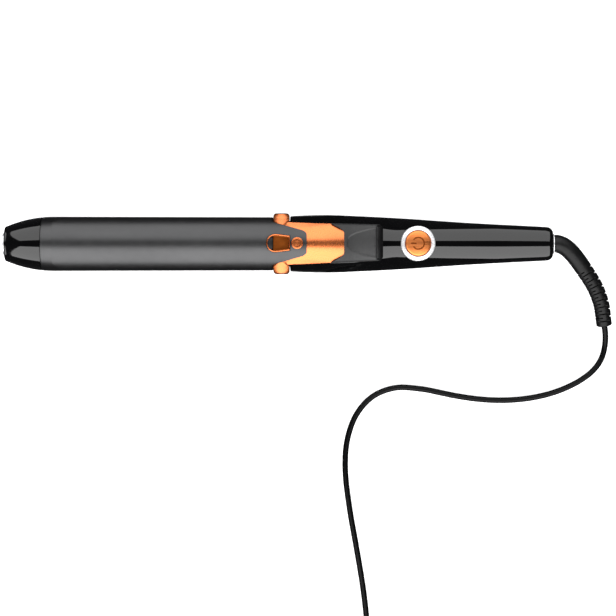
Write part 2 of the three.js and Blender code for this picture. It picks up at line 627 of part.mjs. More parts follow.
function makeButton() {
  const tilted = new THREE.Group();
  tilted.position.set(BUTTON_X, 0, BUTTON_Z);
  tilted.rotation.y = THREE.MathUtils.degToRad(BUTTON_TILT);
  iron.add(tilted);
  const bore = BUTTON_R + GAP;
  const ring = [[2.3, -6.5], [RING_R, -6.5], [RING_R, -0.4], [RING_R - 0.4, 0],
    [bore + 0.3, 0], [bore, -0.3], [bore, -5], [2.3, -5], [2.3, -6.5]];
  addPiece('button_ring', turnedZ(ring, 32), SILVER, tilted);
  const button = [[0, -8.7], [1.9, -8.7], [1.9, -2], [BUTTON_R, -2],
    [BUTTON_R, -0.3], [BUTTON_R - 0.3, 0], [0, 0]];
  addPiece('power_button', turnedZ(button, 24), COPPER, tilted);
  addPiece('button_spring', helix(0, 3.6, -4.8, -2.2, 0.3, 2, 8), STEEL, tilted);
}

function makeBoard() {
  const standsOn = BOARD_TOP_Z + 0.2;
  const board = block(BOARD_FRONT_X, BOARD_REAR_X, -7.2, 7.2, BOARD_TOP_Z - 1.6, BOARD_TOP_Z);
  addPiece('circuit_board', board, BOARD_GREEN);
  const onBoard = (x, long, half, tall) =>
    block(x - long / 2, x + long / 2, -half, half, standsOn, standsOn + tall);
  const under = BUTTON_X - 0.6;
  const plunger = solid(rod(1.5, [under, 0, standsOn + 2], [under, 0, standsOn + 4.8], 14));
  addPiece('tact_switch', shell(solid(onBoard(BUTTON_X, 6, 3, 4)).add(plunger)), DARK_PLASTIC);
  addPiece('capacitor', onBoard(99.6, 10, 3.5, 7), LEAD_RED);
  addPiece('triac', onBoard(110, 5, 5, 6.5), DARK_PLASTIC);
  addPiece('terminal_block', onBoard(120, 8, 5.5, 6), CERAMIC);
}

// ---- cord swivel and strain relief --------------------------------------------------------

function makeSwivel() {
  const spindle = [[139, 0], [139, 4], [151.5, 4], [151.5, 6], [154, 6], [154, 4.1],
    [SWIVEL_END_X - 0.1, 4.1],
    [SWIVEL_END_X - 0.1, 0]];
  addPiece('swivel_spindle', turnedX(spindle, 20), DARK_PLASTIC);
  const collarFront = HANDLE_END_X + 0.2;
  const collar = [[collarFront, 4.3], [collarFront, 5.9], [SWIVEL_END_X, 5.9],
    [SWIVEL_END_X, 4.3], [collarFront, 4.3]];
  addPiece('swivel_collar', turnedX(collar, 24), SILVER);
  const poles = [['live', 141], ['neutral', 146]];
  for (const [pole, x] of poles) {
    const ring = [[x, 4.2], [x, 5.2], [x + 2.5, 5.2], [x + 2.5, 4.2], [x, 4.2]];
    addPiece(`slip_ring_${pole}`, turnedX(ring, 20), BRASS);
    addPiece(`contact_${pole}`, block(x + 0.2, x + 2.3, -2, 2, AXIS_Z - 6.2, AXIS_Z - 5.45), BRASS);
  }
  addPiece('contact_holder', block(140, 149.5, -3, 3, AXIS_Z - 7.5, AXIS_Z - 6.45), DARK_PLASTIC);
}

// A straight turned piece, bent along a curve that lies in the plane of the elbow.
function bent(geometry, curve, length) {
  const position = geometry.getAttribute('position');
  for (let i = 0; i < position.count; i++) {
    const share = Math.min(1, Math.max(0, position.getX(i) / length));
    const at = curve.getPointAt(share);
    const along = curve.getTangentAt(share);
    const outward = position.getY(i);
    position.setXYZ(i, at.x - along.y * outward, at.y + along.x * outward, position.getZ(i));
  }
  return closed(geometry);
}

function makeBoot() {
  const curve = new THREE.CatmullRomCurve3(BOOT_PATH.map(([x, out]) => new THREE.Vector3(x, -out, 0)));
  const length = curve.getLength();
  const radiusAt = (s) => mix(5.35, 4.7, s / length);
  const notches = 8;
  const notchStart = 21.5;
  const pitch = (length - notchStart - 1.2) / notches;
  const profile = [[0, 0], [0, radiusAt(0)], [6, radiusAt(6)], [11, radiusAt(11)], [16, radiusAt(16)]];
  for (let i = 0; i < notches; i++) {
    const s = notchStart + i * pitch;
    profile.push([s, radiusAt(s)], [s + 0.5, radiusAt(s) - 0.8], [s + 1, radiusAt(s)]);
  }
  profile.push([length, radiusAt(length)], [length, 0]);
  const straight = new THREE.LatheGeometry(profile.map(([s, r]) => new THREE.Vector2(r, s)), 14);
  straight.rotateZ(-Math.PI / 2);
  const boot = bent(straight, curve, length);
  const elbow = new THREE.Group();
  elbow.position.z = AXIS_Z;
  elbow.rotation.x = THREE.MathUtils.degToRad(BOOT_TILT);
  iron.add(elbow);
  addPiece('strain_relief', boot, RUBBER, elbow);
}

// ---- cord, coil and plug ------------------------------------------------------------------

function makeCord() {
  const lead = LEAD_ROUTE.map(([x, y, z = CORD_R]) => [x, y, z]);
  addPiece('cord_lead', tube(lead, CORD_R, 8, 56), GLOSS_BLACK);
  const halfWide = (COIL_WIDE * CORD_D) / 2 + 0.1;
  const top = COIL_Z + COIL_HIGH * CORD_D;
  const bevel = 1.2;
  const [inside, outside] = [COIL_R - halfWide, COIL_R + halfWide];
  const section = [[inside, COIL_Z + bevel], [inside + bevel, COIL_Z], [outside - bevel, COIL_Z],
    [outside, COIL_Z + bevel], [outside, top - bevel], [outside - bevel, top], [inside + bevel, top],
    [inside, top - bevel], [inside, COIL_Z + bevel]];
  addPiece('cord_coil', turnedZ(section, 28).translate(COIL_X, COIL_Y, 0), GLOSS_BLACK);
  const leave = COIL_X - 14.2;
  const tail = [[leave, PLUG_Y, 12], [leave - 8, PLUG_Y, 10.2],
    [leave - 17, PLUG_Y, 8], [leave - 24, PLUG_Y, 7.1],
    [PLUG_X + GAP, PLUG_Y, 7]];
  addPiece('cord_tail', tube(tail, CORD_R, 8, 12), GLOSS_BLACK);

  const tieX = COIL_X - COIL_R;
  const gapHalf = halfWide + 2 * GAP;
  const strapHalf = gapHalf + TIE_THICK;
  const strapTop = top + GAP + TIE_THICK;
  const strap = outline([[-strapHalf, 0], [strapHalf, 0], [strapHalf, strapTop], [-strapHalf, strapTop]]);
  const opening = [[-gapHalf, TIE_THICK], [gapHalf, TIE_THICK],
    [gapHalf, top + GAP], [-gapHalf, top + GAP]];
  strap.holes.push(outline(opening));
  addPiece('cord_tie', sideSlab(strap, 2.5).translate(tieX, COIL_Y, 0), RUBBER);
}

function makePlug() {
  const reliefLength = 16;
  const bodyX = PLUG_X - reliefLength - GAP;
  const reliefStart = PLUG_X - reliefLength;
  const reliefProfile = [[0, reliefStart], [4.4, reliefStart], [3, PLUG_X], [0, PLUG_X]];
  const relief = turnedX(reliefProfile.map(([r, x]) => [x, r]), 16);
  addPiece('plug_relief', relief.translate(0, PLUG_Y, PLUG_THICK / 2 - AXIS_Z), RUBBER);
  const face = bodyX - PLUG_LENGTH;
  const half = 13;
  const plan = [[bodyX, -6.5], [bodyX - 3, -8], [bodyX - 22, -9], [face + 6, -half], [face, -half + 0.6]];
  const shape = outline([...plan, ...plan.map(([x, y]) => [x, -y]).reverse()]);
  const body = planSlab(shape, 0, PLUG_THICK).translate(0, PLUG_Y, 0);
  addPiece('plug_body', body, GLOSS_BLACK);
  [-1, 1].forEach((side, i) => {
    const y = PLUG_Y + (side * PIN_GAP) / 2;
    const start = face - GAP;
    const pin = rod(PIN_R, [start, y, PLUG_THICK / 2], [start - PIN_LENGTH, y, PLUG_THICK / 2], 16);
    addPiece(`plug_pin_${i + 1}`, pin, BRASS);
  });
}

makeTip();
makeBarrel();
makeHeater();
makeHandle();
makeStand();
makeSpoon();
makeLever();
makeThumbPad();
makeClampFasteners();
makeButton();
makeBoard();
makeSwivel();
makeBoot();
makeCord();
makePlug();

export default iron;
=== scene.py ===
import json
import math

import bmesh
import bpy
import numpy as np
from mathutils import Matrix, Vector

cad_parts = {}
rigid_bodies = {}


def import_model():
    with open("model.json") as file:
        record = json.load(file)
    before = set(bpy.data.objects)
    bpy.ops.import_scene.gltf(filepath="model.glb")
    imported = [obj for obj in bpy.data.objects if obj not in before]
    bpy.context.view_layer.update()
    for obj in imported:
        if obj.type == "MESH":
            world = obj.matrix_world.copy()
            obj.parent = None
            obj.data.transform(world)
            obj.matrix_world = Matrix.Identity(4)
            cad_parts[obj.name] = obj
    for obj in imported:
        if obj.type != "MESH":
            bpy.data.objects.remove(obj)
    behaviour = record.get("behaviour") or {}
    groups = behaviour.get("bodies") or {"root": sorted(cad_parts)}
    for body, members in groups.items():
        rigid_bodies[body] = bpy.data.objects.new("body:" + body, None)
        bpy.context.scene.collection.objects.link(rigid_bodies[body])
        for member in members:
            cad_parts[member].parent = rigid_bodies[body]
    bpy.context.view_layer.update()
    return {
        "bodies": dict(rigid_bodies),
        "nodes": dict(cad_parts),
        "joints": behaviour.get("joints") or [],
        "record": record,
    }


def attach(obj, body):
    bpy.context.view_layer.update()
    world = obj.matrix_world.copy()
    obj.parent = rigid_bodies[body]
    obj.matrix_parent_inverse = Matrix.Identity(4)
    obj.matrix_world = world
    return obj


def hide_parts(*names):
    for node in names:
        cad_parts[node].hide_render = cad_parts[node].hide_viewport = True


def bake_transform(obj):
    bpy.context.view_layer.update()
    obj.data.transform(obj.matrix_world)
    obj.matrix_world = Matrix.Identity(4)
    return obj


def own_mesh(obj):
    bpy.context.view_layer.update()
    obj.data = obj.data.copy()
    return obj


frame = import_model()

# ---- driving dimensions, in millimetres in the CAD frame ----------------------------------

MM = 0.001
AXIS_Z = 16.1
BARREL_R = 16.1
BARREL_REAR_R = 15.8
BARREL_BORE_R = 14.9
TIP_X = -163.7
CAP_X = -162.2
CAP_REAR_X = -140.2
BARREL_FRONT_X = -140.0
BARREL_REAR_X = -3.05
TIP_ARC_R = 72
SPOON_FRONT_X = -133.2
SPOON_INNER_R = 16.4
SPOON_THICK = 0.8
TONGUE_END_X = 16.8
PIVOT_X = 1.9
EAR_R = 4.8
EAR_HALF_Y = 18
NOSE_X = -3
NOSE_R = 13.6
NOSE_TOP = 12.2
HANDLE_X = 7.3
HANDLE_END_X = 162.9
WALL = 2
STUD_X = 11.2
SADDLE_R = 15.95
SADDLE_BORE_R = 14.1
LEVER_FLAT_END_X = 17.5
LEVER_END_X = 57.8
LEVER_THICK = 1.6
PAD_FRONT_X = 30
PAD_END_X = 61.3
SLOT_R = 5.5
SLOT_ROUND_X = -1.6
SLOT_END_X = 7.2
SLOT_END_HALF = 4.5
BUTTON_X = 82.6
BUTTON_Z = AXIS_Z + 12.7
BUTTON_TILT = math.radians(5)
RING_R = 10.3
BUTTON_R = 7.5
STAND_HINGE_X = 13
STAND_HINGE_Z = 3.5
STAND_END_X = 52
SWIVEL_END_X = 163.7
BOOT_TILT = math.radians(13)
CORD_R = 1.75
COIL_X, COIL_Y, COIL_Z = 30.2, -255, 1
COIL_R = 20
COIL_WIDE = 3
COIL_HIGH = 4
PLUG_X, PLUG_Y, PLUG_Z = -12, -278.5, 7
RELIEF_LENGTH = 16
PLUG_LENGTH = 35
GAP = 0.3
SCREW_X = (27, 58, 134)
SCREW_SEAT_Z = AXIS_Z - 8.5
STAND_NECK = 8
STAND_ROOM_FRONT_X = 9.3
STAND_ROOM_REAR_X = 17.4
SPRING_X = 24
SPRING_BASE_Z = AXIS_Z + 10.4

# Handle sections: station x, half width, height above the axis, depth below the axis.
HANDLE_SECTIONS = [
    (HANDLE_X, 16.5, 9.8, 12.5),
    (20, 17, 10, 12.5),
    (33, 17.05, 10.4, 12.5),
    (45, 16.55, 11.5, 12.8),
    (62, 15.75, 12.8, 13.2),
    (80, 14.7, 12.6, 13.2),
    (94, 13.7, 11.6, 12.6),
    (113, 12.45, 10.6, 11.8),
    (132, 11.4, 9.8, 10.9),
    (151, 10.45, 9.1, 10.1),
    (158.5, 10.05, 8.8, 9.8),
]

BOOT_PATH = [(164.1, 0), (166.2, 0.05), (170, 1.7), (174, 5.1), (178.2, 10.2), (182.9, 16.9),
             (187.5, 24), (190.7, 30.6), (193.1, 38), (194.9, 49.6)]

# Route of the cord on the table, from the strain relief to the coil, as in the CAD model.
LEAD_ROUTE = [(195, -48.7, 4.85), (195.8, -54, 3.6), (195.6, -61, 2.3), (193.6, -68.5, 1.8),
              (189.2, -75, 1.75), (182.7, -80.4, 1.75), (173.7, -85.4, 1.75), (162.3, -89.6, 1.75),
              (149.5, -92.3, 1.75), (136.5, -93.4, 1.75), (122.4, -93, 1.75), (108, -91.1, 1.75),
              (97, -88.9, 1.75), (84.9, -86.6, 1.75), (70, -86, 1.75), (56.4, -91.2, 1.75),
              (46.4, -102.4, 1.75), (41, -118, 1.75), (40, -136, 1.75), (42.5, -158, 1.75),
              (46.5, -181, 1.75), (50.5, -205, 1.75), (53, -227, 2.1), (53.7, -240, 2.6)]


# ---- small helpers ------------------------------------------------------------------------

def mix(a, b, t):
    return a + (b - a) * t


def clamp01(t):
    return min(1.0, max(0.0, t))


def smooth(t):
    t = clamp01(t)
    return t * t * (3 - 2 * t)


def catmull(points, per_span):
    """Points on a smooth curve through the given ones."""
    p = [np.array(q, float) for q in points]
    p = [2 * p[0] - p[1]] + p + [2 * p[-1] - p[-2]]
    out = []
    for i in range(1, len(p) - 2):
        a, b, c, d = p[i - 1:i + 3]
        for k in range(per_span):
            t = k / per_span
            out.append(0.5 * (2 * b + (c - a) * t + (2 * a - 5 * b + 4 * c - d) * t ** 2
                              + (3 * b - a - 3 * c + d) * t ** 3))
    out.append(p[-2])
    return out


def evenly(points, step):
    """The same line with points an even distance apart."""
    p = np.array(points, float)
    run = np.concatenate([[0], np.cumsum(np.linalg.norm(np.diff(p, axis=0), axis=1))])
    count = max(2, int(round(run[-1] / step)) + 1)
    at = np.linspace(0, run[-1], count)
    return [np.array([np.interp(s, run, p[:, k]) for k in range(p.shape[1])]) for s in at]


def line_length(points):
    return float(np.linalg.norm(np.diff(np.array(points, float), axis=0), axis=1).sum())


def make_object(name, verts, faces, material, body=None, slot=None, node=None, sharp=35):
    """A mesh in metres from vertices in millimetres, smooth where its faces meet gently."""
    mesh = bpy.data.meshes.new(name)
    mesh.from_pydata([tuple(c * MM for c in v) for v in verts], [], faces)
    bm = bmesh.new()
    bm.from_mesh(mesh)
    bmesh.ops.remove_doubles(bm, verts=bm.verts, dist=1e-6)
    bmesh.ops.recalc_face_normals(bm, faces=bm.faces)
    bm.to_mesh(mesh)
    bm.free()
    obj = bpy.data.objects.new(name, mesh)
    bpy.context.scene.collection.objects.link(obj)
    finish_mesh(obj, material, sharp)
    if body:
        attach(obj, body)
    if node:
        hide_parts(node)
    return obj


def finish_mesh(obj, material, sharp=35):
    mesh = obj.data
    mesh.materials.clear()
    mesh.materials.append(material)
    for polygon in mesh.polygons:
        polygon.use_smooth = True
        polygon.material_index = 0
    mesh.set_sharp_from_angle(angle=math.radians(sharp))


def bake_modifiers(obj):
    """Replaces the mesh by what its modifiers make of it."""
    graph = bpy.context.evaluated_depsgraph_get()
    made = bpy.data.meshes.new_from_object(obj.evaluated_get(graph))
    obj.modifiers.clear()
    obj.data = made


def boolean(obj, other, operation):
    modifier = obj.modifiers.new("cut", "BOOLEAN")
    modifier.operation = operation
    modifier.solver = "EXACT"
    modifier.object = other
    bake_modifiers(obj)
    bpy.data.objects.remove(other)


def bevel(obj, width, segments=3, angle=30):
    modifier = obj.modifiers.new("edges", "BEVEL")
    modifier.width = width * MM
    modifier.segments = segments
    modifier.limit_method = "ANGLE"
    modifier.angle_limit = math.radians(angle)
    modifier.use_clamp_overlap = True
    bake_modifiers(obj)


def remeshed(obj, voxel, smoothing):
    """Melts joined shapes into one skin with soft inner corners."""
    modifier = obj.modifiers.new("melt", "REMESH")
    modifier.mode = "VOXEL"
    modifier.voxel_size = voxel * MM
    bake_modifiers(obj)
    modifier = obj.modifiers.new("soften", "SMOOTH")
    modifier.factor = 0.5
    modifier.iterations = smoothing
    bake_modifiers(obj)


def skin(rings, close_ends=True):
    """Vertices and faces of a skin through rings of equal count."""
    verts = [tuple(p) for ring in rings for p in ring]
    n = len(rings[0])
    faces = []
    for i in range(len(rings) - 1):
        for j in range(n):
            k = (j + 1) % n
            faces.append((i * n + j, i * n + k, (i + 1) * n + k, (i + 1) * n + j))
    if close_ends:
        faces.append(tuple(range(n))[::-1])
        faces.append(tuple(range((len(rings) - 1) * n, len(rings) * n)))
    return verts, faces


def turned(name, profile, material, axis="X", centre=(0, 0, 0), segments=128, sharp=35, **kw):
    """A profile of (along, radius) points turned about an axis. It ends on the axis or where it starts."""
    loop = profile[0] == profile[-1]
    points = profile[:-1] if loop else profile
    verts, faces = [], []
    n = len(points)
    for j in range(segments):
        angle = 2 * math.pi * j / segments
        for along, radius in points:
            u, v = radius * math.cos(angle), radius * math.sin(angle)
            local = {"X": (along, u, v), "Z": (u, v, along), "Y": (v, along, u)}[axis]
            verts.append(tuple(local[k] + centre[k] for k in range(3)))
    for j in range(segments):
        k = (j + 1) % segments
        for i in range(n if loop else n - 1):
            m = (i + 1) % n
            faces.append((j * n + i, j * n + m, k * n + m, k * n + i))
    clean = []
    for face in faces:
        kept = []
        for index in face:
            if not any(np.allclose(verts[index], verts[other], atol=1e-7) for other in kept):
                kept.append(index)
        if len(kept) > 2:
            clean.append(tuple(kept))
    return make_object(name, verts, clean, material, sharp=sharp, **kw)


def rounded(points, radius, steps=4):
    """A polyline with its inner corners rounded: (u, v) points, the ends left as they are."""
    out = [points[0]]
    for i in range(1, len(points) - 1):
        a, b, c = (np.array(p, float) for p in points[i - 1:i + 2])
        la, lc = np.linalg.norm(a - b), np.linalg.norm(c - b)
        if la < 1e-9 or lc < 1e-9:
            continue
        r = min(radius, 0.45 * la, 0.45 * lc)
        p, q = b + (a - b) * r / la, b + (c - b) * r / lc
        for k in range(steps + 1):
            t = k / steps
            out.append(tuple((1 - t) ** 2 * p + 2 * t * (1 - t) * b + t ** 2 * q))
    out.append(points[-1])
    return [tuple(float(c) for c in p) for p in out]


def prism(name, outline, low, high, plane="XY"):
    """A closed prism of a 2-D outline: a plan from z low to high, or a side view from y low to high."""
    n = len(outline)
    place = {"XY": lambda u, v, w: (u, v, w), "XZ": lambda u, v, w: (u, w, v)}[plane]
    verts = [place(u, v, low) for u, v in outline] + [place(u, v, high) for u, v in outline]
    faces = [tuple(range(n))[::-1], tuple(range(n, 2 * n))]
    faces += [(i, (i + 1) % n, n + (i + 1) % n, n + i) for i in range(n)]
    return make_object(name, verts, faces, plain_material())


def rect(u0, v0, u1, v1):
    return [(u0, v0), (u1, v0), (u1, v1), (u0, v1)]


def drill(obj, radius, low, high, axis="Z", centre=(0, 0, 0), segments=48, frame=None):
    """Cuts a round hole along an axis."""
    profile = [(low, 0), (low, radius), (high, radius), (high, 0)]
    bit = turned("drill", profile, plain_material(), axis=axis, centre=centre, segments=segments)
    if frame:
        bit.data.transform(frame)
    boolean(obj, bit, "DIFFERENCE")


def settle(obj, material, sharp, body, slot, *nodes):
    """Finishes a piece and places it on its body, for the CAD nodes it replaces."""
    finish_mesh(obj, material, sharp)
    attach(obj, body)
    if nodes:
        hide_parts(*nodes)


def plain_material():
    return bpy.data.materials.get("cutter") or bpy.data.materials.new("cutter")


# ---- materials ----------------------------------------------------------------------------

class Finish:
    """A Principled material whose colour, roughness and relief come from procedural noise."""

    def __init__(self, name, roughness, metallic=0.0):
        self.material = bpy.data.materials.new(name)
        self.material.use_nodes = True
        self.tree = self.material.node_tree
        self.shader = self.tree.nodes["Principled BSDF"]
        self.shader.inputs["Metallic"].default_value = metallic
        self.shader.inputs["Roughness"].default_value = roughness
        self.shader.inputs["IOR"].default_value = 1.5
        self.coordinates = self.tree.nodes.new("ShaderNodeTexCoord").outputs["Object"]

    def node(self, kind, **settings):
        made = self.tree.nodes.new(kind)
        for key, value in settings.items():
            setattr(made, key, value)
        return made

    def noise(self, scale, detail=4.0, stretch=(1, 1, 1), rough=0.5):
        mapping = self.node("ShaderNodeMapping")
        mapping.inputs["Scale"].default_value = stretch
        self.tree.links.new(self.coordinates, mapping.inputs["Vector"])
        made = self.node("ShaderNodeTexNoise")
        made.inputs["Scale"].default_value = scale
        made.inputs["Detail"].default_value = detail
        made.inputs["Roughness"].default_value = rough
        self.tree.links.new(mapping.outputs["Vector"], made.inputs["Vector"])
        return made.outputs["Fac"]

    def colours(self, source, dark, light):
        ramp = self.node("ShaderNodeValToRGB")
        ramp.color_ramp.elements[0].position = 0.3
        ramp.color_ramp.elements[0].color = (*dark, 1)
        ramp.color_ramp.elements[1].position = 0.7
        ramp.color_ramp.elements[1].color = (*light, 1)
        self.tree.links.new(source, ramp.inputs["Fac"])
        self.tree.links.new(ramp.outputs["Color"], self.shader.inputs["Base Color"])
        return self

    def roughness(self, source, low, high):
        span = self.node("ShaderNodeMapRange")
        span.inputs["From Min"].default_value = 0.3
        span.inputs["From Max"].default_value = 0.7
        span.inputs["To Min"].default_value = low
        span.inputs["To Max"].default_value = high
        self.tree.links.new(source, span.inputs["Value"])
        self.tree.links.new(span.outputs["Result"], self.shader.inputs["Roughness"])
        return self

    def bump(self, source, height_mm, strength=1.0):
        made = self.node("ShaderNodeBump")
        made.inputs["Distance"].default_value = height_mm * MM
        made.inputs["Strength"].default_value = strength
        self.tree.links.new(source, made.inputs["Height"])
        self.tree.links.new(made.outputs["Normal"], self.shader.inputs["Normal"])
        return self


def satin_coating():
    """Baked satin coating on the barrel and the clamp: fine grain, slightly uneven along the length."""
    made = Finish("satin_grey", 0.36, metallic=1.0)
    made.colours(made.noise(60, 3, (0.25, 1, 1)), (0.058, 0.058, 0.059), (0.067, 0.067, 0.068))
    made.roughness(made.noise(220, 5), 0.33, 0.38)
    return made.bump(made.noise(500, 2), 0.0012, 0.06).material


def gloss_black():
    """Polished black moulding: barely uneven, with the faint haze of handling."""
    made = Finish("gloss_black", 0.05)
    made.colours(made.noise(45, 3), (0.0008, 0.0008, 0.0009), (0.0014, 0.0014, 0.0015))
    made.roughness(made.noise(90, 6), 0.035, 0.075)
    return made.bump(made.noise(160, 2), 0.004, 0.25).material


def copper_satin():
    """Satin copper-orange metal finish of the lever."""
    made = Finish("copper", 0.27, metallic=1.0)
    made.colours(made.noise(80, 4), (0.68, 0.172, 0.042), (0.72, 0.188, 0.048))
    made.roughness(made.noise(400, 4), 0.25, 0.3)
    made.shader.inputs["Coat Weight"].default_value = 0.6
    made.shader.inputs["Coat Roughness"].default_value = 0.22
    return made.bump(made.noise(500, 2), 0.001, 0.06).material


def copper_brushed():
    """The button's face, brushed along the handle."""
    made = Finish("copper_brushed", 0.32, metallic=1.0)
    grain = made.noise(500, 6, (0.06, 3, 1), 0.6)
    made.colours(grain, (0.66, 0.19, 0.05), (0.80, 0.26, 0.08))
    made.roughness(grain, 0.26, 0.4)
    return made.bump(grain, 0.012, 0.4).material


def dull(name, dark, light, roughness):
    """Moulded plastic that takes little sheen."""
    material = moulded(name, dark, light, roughness)
    material.node_tree.nodes["Principled BSDF"].inputs["Specular IOR Level"].default_value = 0.12
    return material


def silver_plate():
    made = Finish("silver", 0.28, metallic=0.55)
    made.colours(made.noise(120, 3), (0.82, 0.82, 0.84), (0.9, 0.9, 0.91))
    made.roughness(made.noise(500, 4), 0.24, 0.32)
    return made.bump(made.noise(3000, 2), 0.003, 0.2).material


def pad_plastic():
    """Soft-touch grey plastic with a fine spark-eroded grain."""
    made = Finish("pad_grey", 0.55)
    made.colours(made.noise(150, 4), (0.012, 0.012, 0.0123), (0.016, 0.016, 0.0164))
    made.roughness(made.noise(900, 3), 0.48, 0.6)
    return made.bump(made.noise(3500, 3), 0.03, 0.5).material


def dark_plastic():
    made = Finish("dark_plastic", 0.42)
    made.colours(made.noise(150, 4), (0.003, 0.003, 0.0033), (0.005, 0.005, 0.0055))
    made.roughness(made.noise(700, 3), 0.36, 0.48)
    return made.bump(made.noise(4000, 3), 0.02, 0.4).material


def boot_rubber():
    """Moulded rubber: dull, a little dusty."""
    made = Finish("rubber", 0.4)
    made.shader.inputs["Specular IOR Level"].default_value = 0.2
    made.colours(made.noise(200, 5), (0.002, 0.002, 0.0022), (0.004, 0.004, 0.0042))
    made.roughness(made.noise(350, 5), 0.34, 0.46)
    return made.bump(made.noise(1800, 4), 0.02, 0.5).material


def cord_sheath():
    made = Finish("cord_black", 0.22)
    made.shader.inputs["Specular IOR Level"].default_value = 0.1
    made.colours(made.noise(120, 3), (0.0012, 0.0012, 0.0013), (0.002, 0.002, 0.0022))
    made.roughness(made.noise(200, 4), 0.16, 0.28)
    return made.bump(made.noise(900, 3), 0.01, 0.4).material


def metal(name, dark, light, roughness, grain=(1, 1, 1)):
    made = Finish(name, roughness, metallic=1.0)
    source = made.noise(300, 4, grain)
    made.colours(source, dark, light)
    made.roughness(made.noise(600, 4, grain), roughness - 0.05, roughness + 0.06)
    return made.bump(source, 0.006, 0.3).material


def moulded(name, dark, light, roughness):
    made = Finish(name, roughness)
    made.colours(made.noise(200, 4), dark, light)
    made.roughness(made.noise(500, 4), roughness - 0.05, roughness + 0.06)
    return made.bump(made.noise(2500, 3), 0.012, 0.35).material


SATIN = satin_coating()
GLOSS = gloss_black()
COPPER = copper_satin()
BRUSHED = copper_brushed()
# Darker copper: the engraved marks on the button, and painted shade in the lever's pocket.
ENGRAVED_AND_POCKET_SHADE = metal("copper_engraved_and_pocket_shade", (0.16, 0.04, 0.006), (0.22, 0.06, 0.01), 0.5)
SILVER = silver_plate()
PAD = pad_plastic()
# A darker copy of the pad's plastic: painted shade on the lip's steep rear end.
SHADED_LIP = dull("pad_lip_painted_shade", (0.0022, 0.0022, 0.0024), (0.004, 0.004, 0.0042), 0.42)
DARK = dark_plastic()
RUBBER = boot_rubber()
SHEATH = cord_sheath()
STEEL = metal("steel", (0.50, 0.51, 0.52), (0.60, 0.61, 0.62), 0.3, (0.2, 2, 2))
ALUMINIUM = metal("heater_aluminium", (0.62, 0.63, 0.64), (0.72, 0.73, 0.74), 0.42, (0.1, 3, 3))
BRASS = metal("brass", (0.62, 0.46, 0.20), (0.72, 0.55, 0.26), 0.26)
CERAMIC = moulded("ceramic", (0.62, 0.60, 0.55), (0.70, 0.68, 0.62), 0.6)
BOARD = moulded("board_green", (0.012, 0.075, 0.03), (0.018, 0.10, 0.04), 0.4)
RED = moulded("lead_red", (0.24, 0.02, 0.014), (0.31, 0.03, 0.02), 0.45)


# ---- camera, light and floor --------------------------------------------------------------

CAMERA_RISE = 1.43                 # above the plane of the barrel's axis
CAMERA_X, CAMERA_Y = 0.0176, -0.0381
VIEW_WIDTH = 0.3659                # seen in that plane
SENSOR = 36


def make_camera():
    data = bpy.data.cameras.new("camera")
    data.sensor_width = SENSOR
    data.lens = SENSOR * CAMERA_RISE / VIEW_WIDTH
    data.clip_start = 0.01
    camera = bpy.data.objects.new("camera", data)
    camera.location = (CAMERA_X, CAMERA_Y, AXIS_Z * MM + CAMERA_RISE)
    bpy.context.scene.collection.objects.link(camera)
    bpy.context.scene.camera = camera


def make_softbox(name, side, radiance):
    """A long panel beside the camera, facing the iron, which leaves a dark gap over its middle."""
    inner, outer = math.radians(15), math.radians(84)
    middle = (inner + outer) / 2
    width = 2 * math.tan((outer - inner) / 2)
    length = 2.0
    data = bpy.data.lights.new(name, "AREA")
    data.shape = "RECTANGLE"
    data.size = length
    data.size_y = width
    data.energy = radiance * math.pi * length * width
    light = bpy.data.objects.new(name, data)
    light.location = (-0.05, side * math.sin(middle), AXIS_Z * MM + math.cos(middle))
    light.rotation_euler = (-side * middle, 0, 0)
    bpy.context.scene.collection.objects.link(light)


def make_floor():
    made = Finish("floor", 0.9)
    made.colours(made.noise(3, 3), (0.84, 0.84, 0.84), (0.86, 0.86, 0.86))
    # A faint glow of its own stands for the evenly lit table, which leaves no shadow.
    made.shader.inputs["Emission Color"].default_value = (1, 1, 1, 1)
    made.shader.inputs["Emission Strength"].default_value = 0.55
    half = 1500
    corners = [(-half, -half, 0), (half, -half, 0), (half, half, 0), (-half, half, 0)]
    floor = make_object("floor", corners, [(0, 1, 2, 3)], made.material)
    floor.visible_glossy = False


def make_world():
    world = bpy.data.worlds.new("studio")
    world.use_nodes = True
    world.node_tree.nodes["Background"].inputs["Color"].default_value = (0.9, 0.92, 1, 1)
    world.node_tree.nodes["Background"].inputs["Strength"].default_value = 0.05
    bpy.context.scene.world = world
    bpy.context.scene.view_settings.view_transform = "Standard"


# ---- cord, coil and plug ------------------------------------------------------------------

def tube_along(name, line, radius_at, material, sides=14, sharp=60, **kw):
    """A mesh tube along a line of points, with flat ends."""
    p = [np.array(q, float) for q in line]
    rings = []
    normal = np.array([0, 0, 1.0])
    for i, q in enumerate(p):
        along = p[min(i + 1, len(p) - 1)] - p[max(i - 1, 0)]
        along /= np.linalg.norm(along)
        normal = normal - along * normal.dot(along)
        normal /= np.linalg.norm(normal)
        other = np.cross(along, normal)
        r = radius_at(i)
        rings.append([q + r * (math.cos(a) * normal + math.sin(a) * other)
                      for a in (2 * math.pi * j / sides for j in range(sides))])
    verts, faces = skin(rings)
    return make_object(name, verts, faces, material, sharp=sharp, **kw)


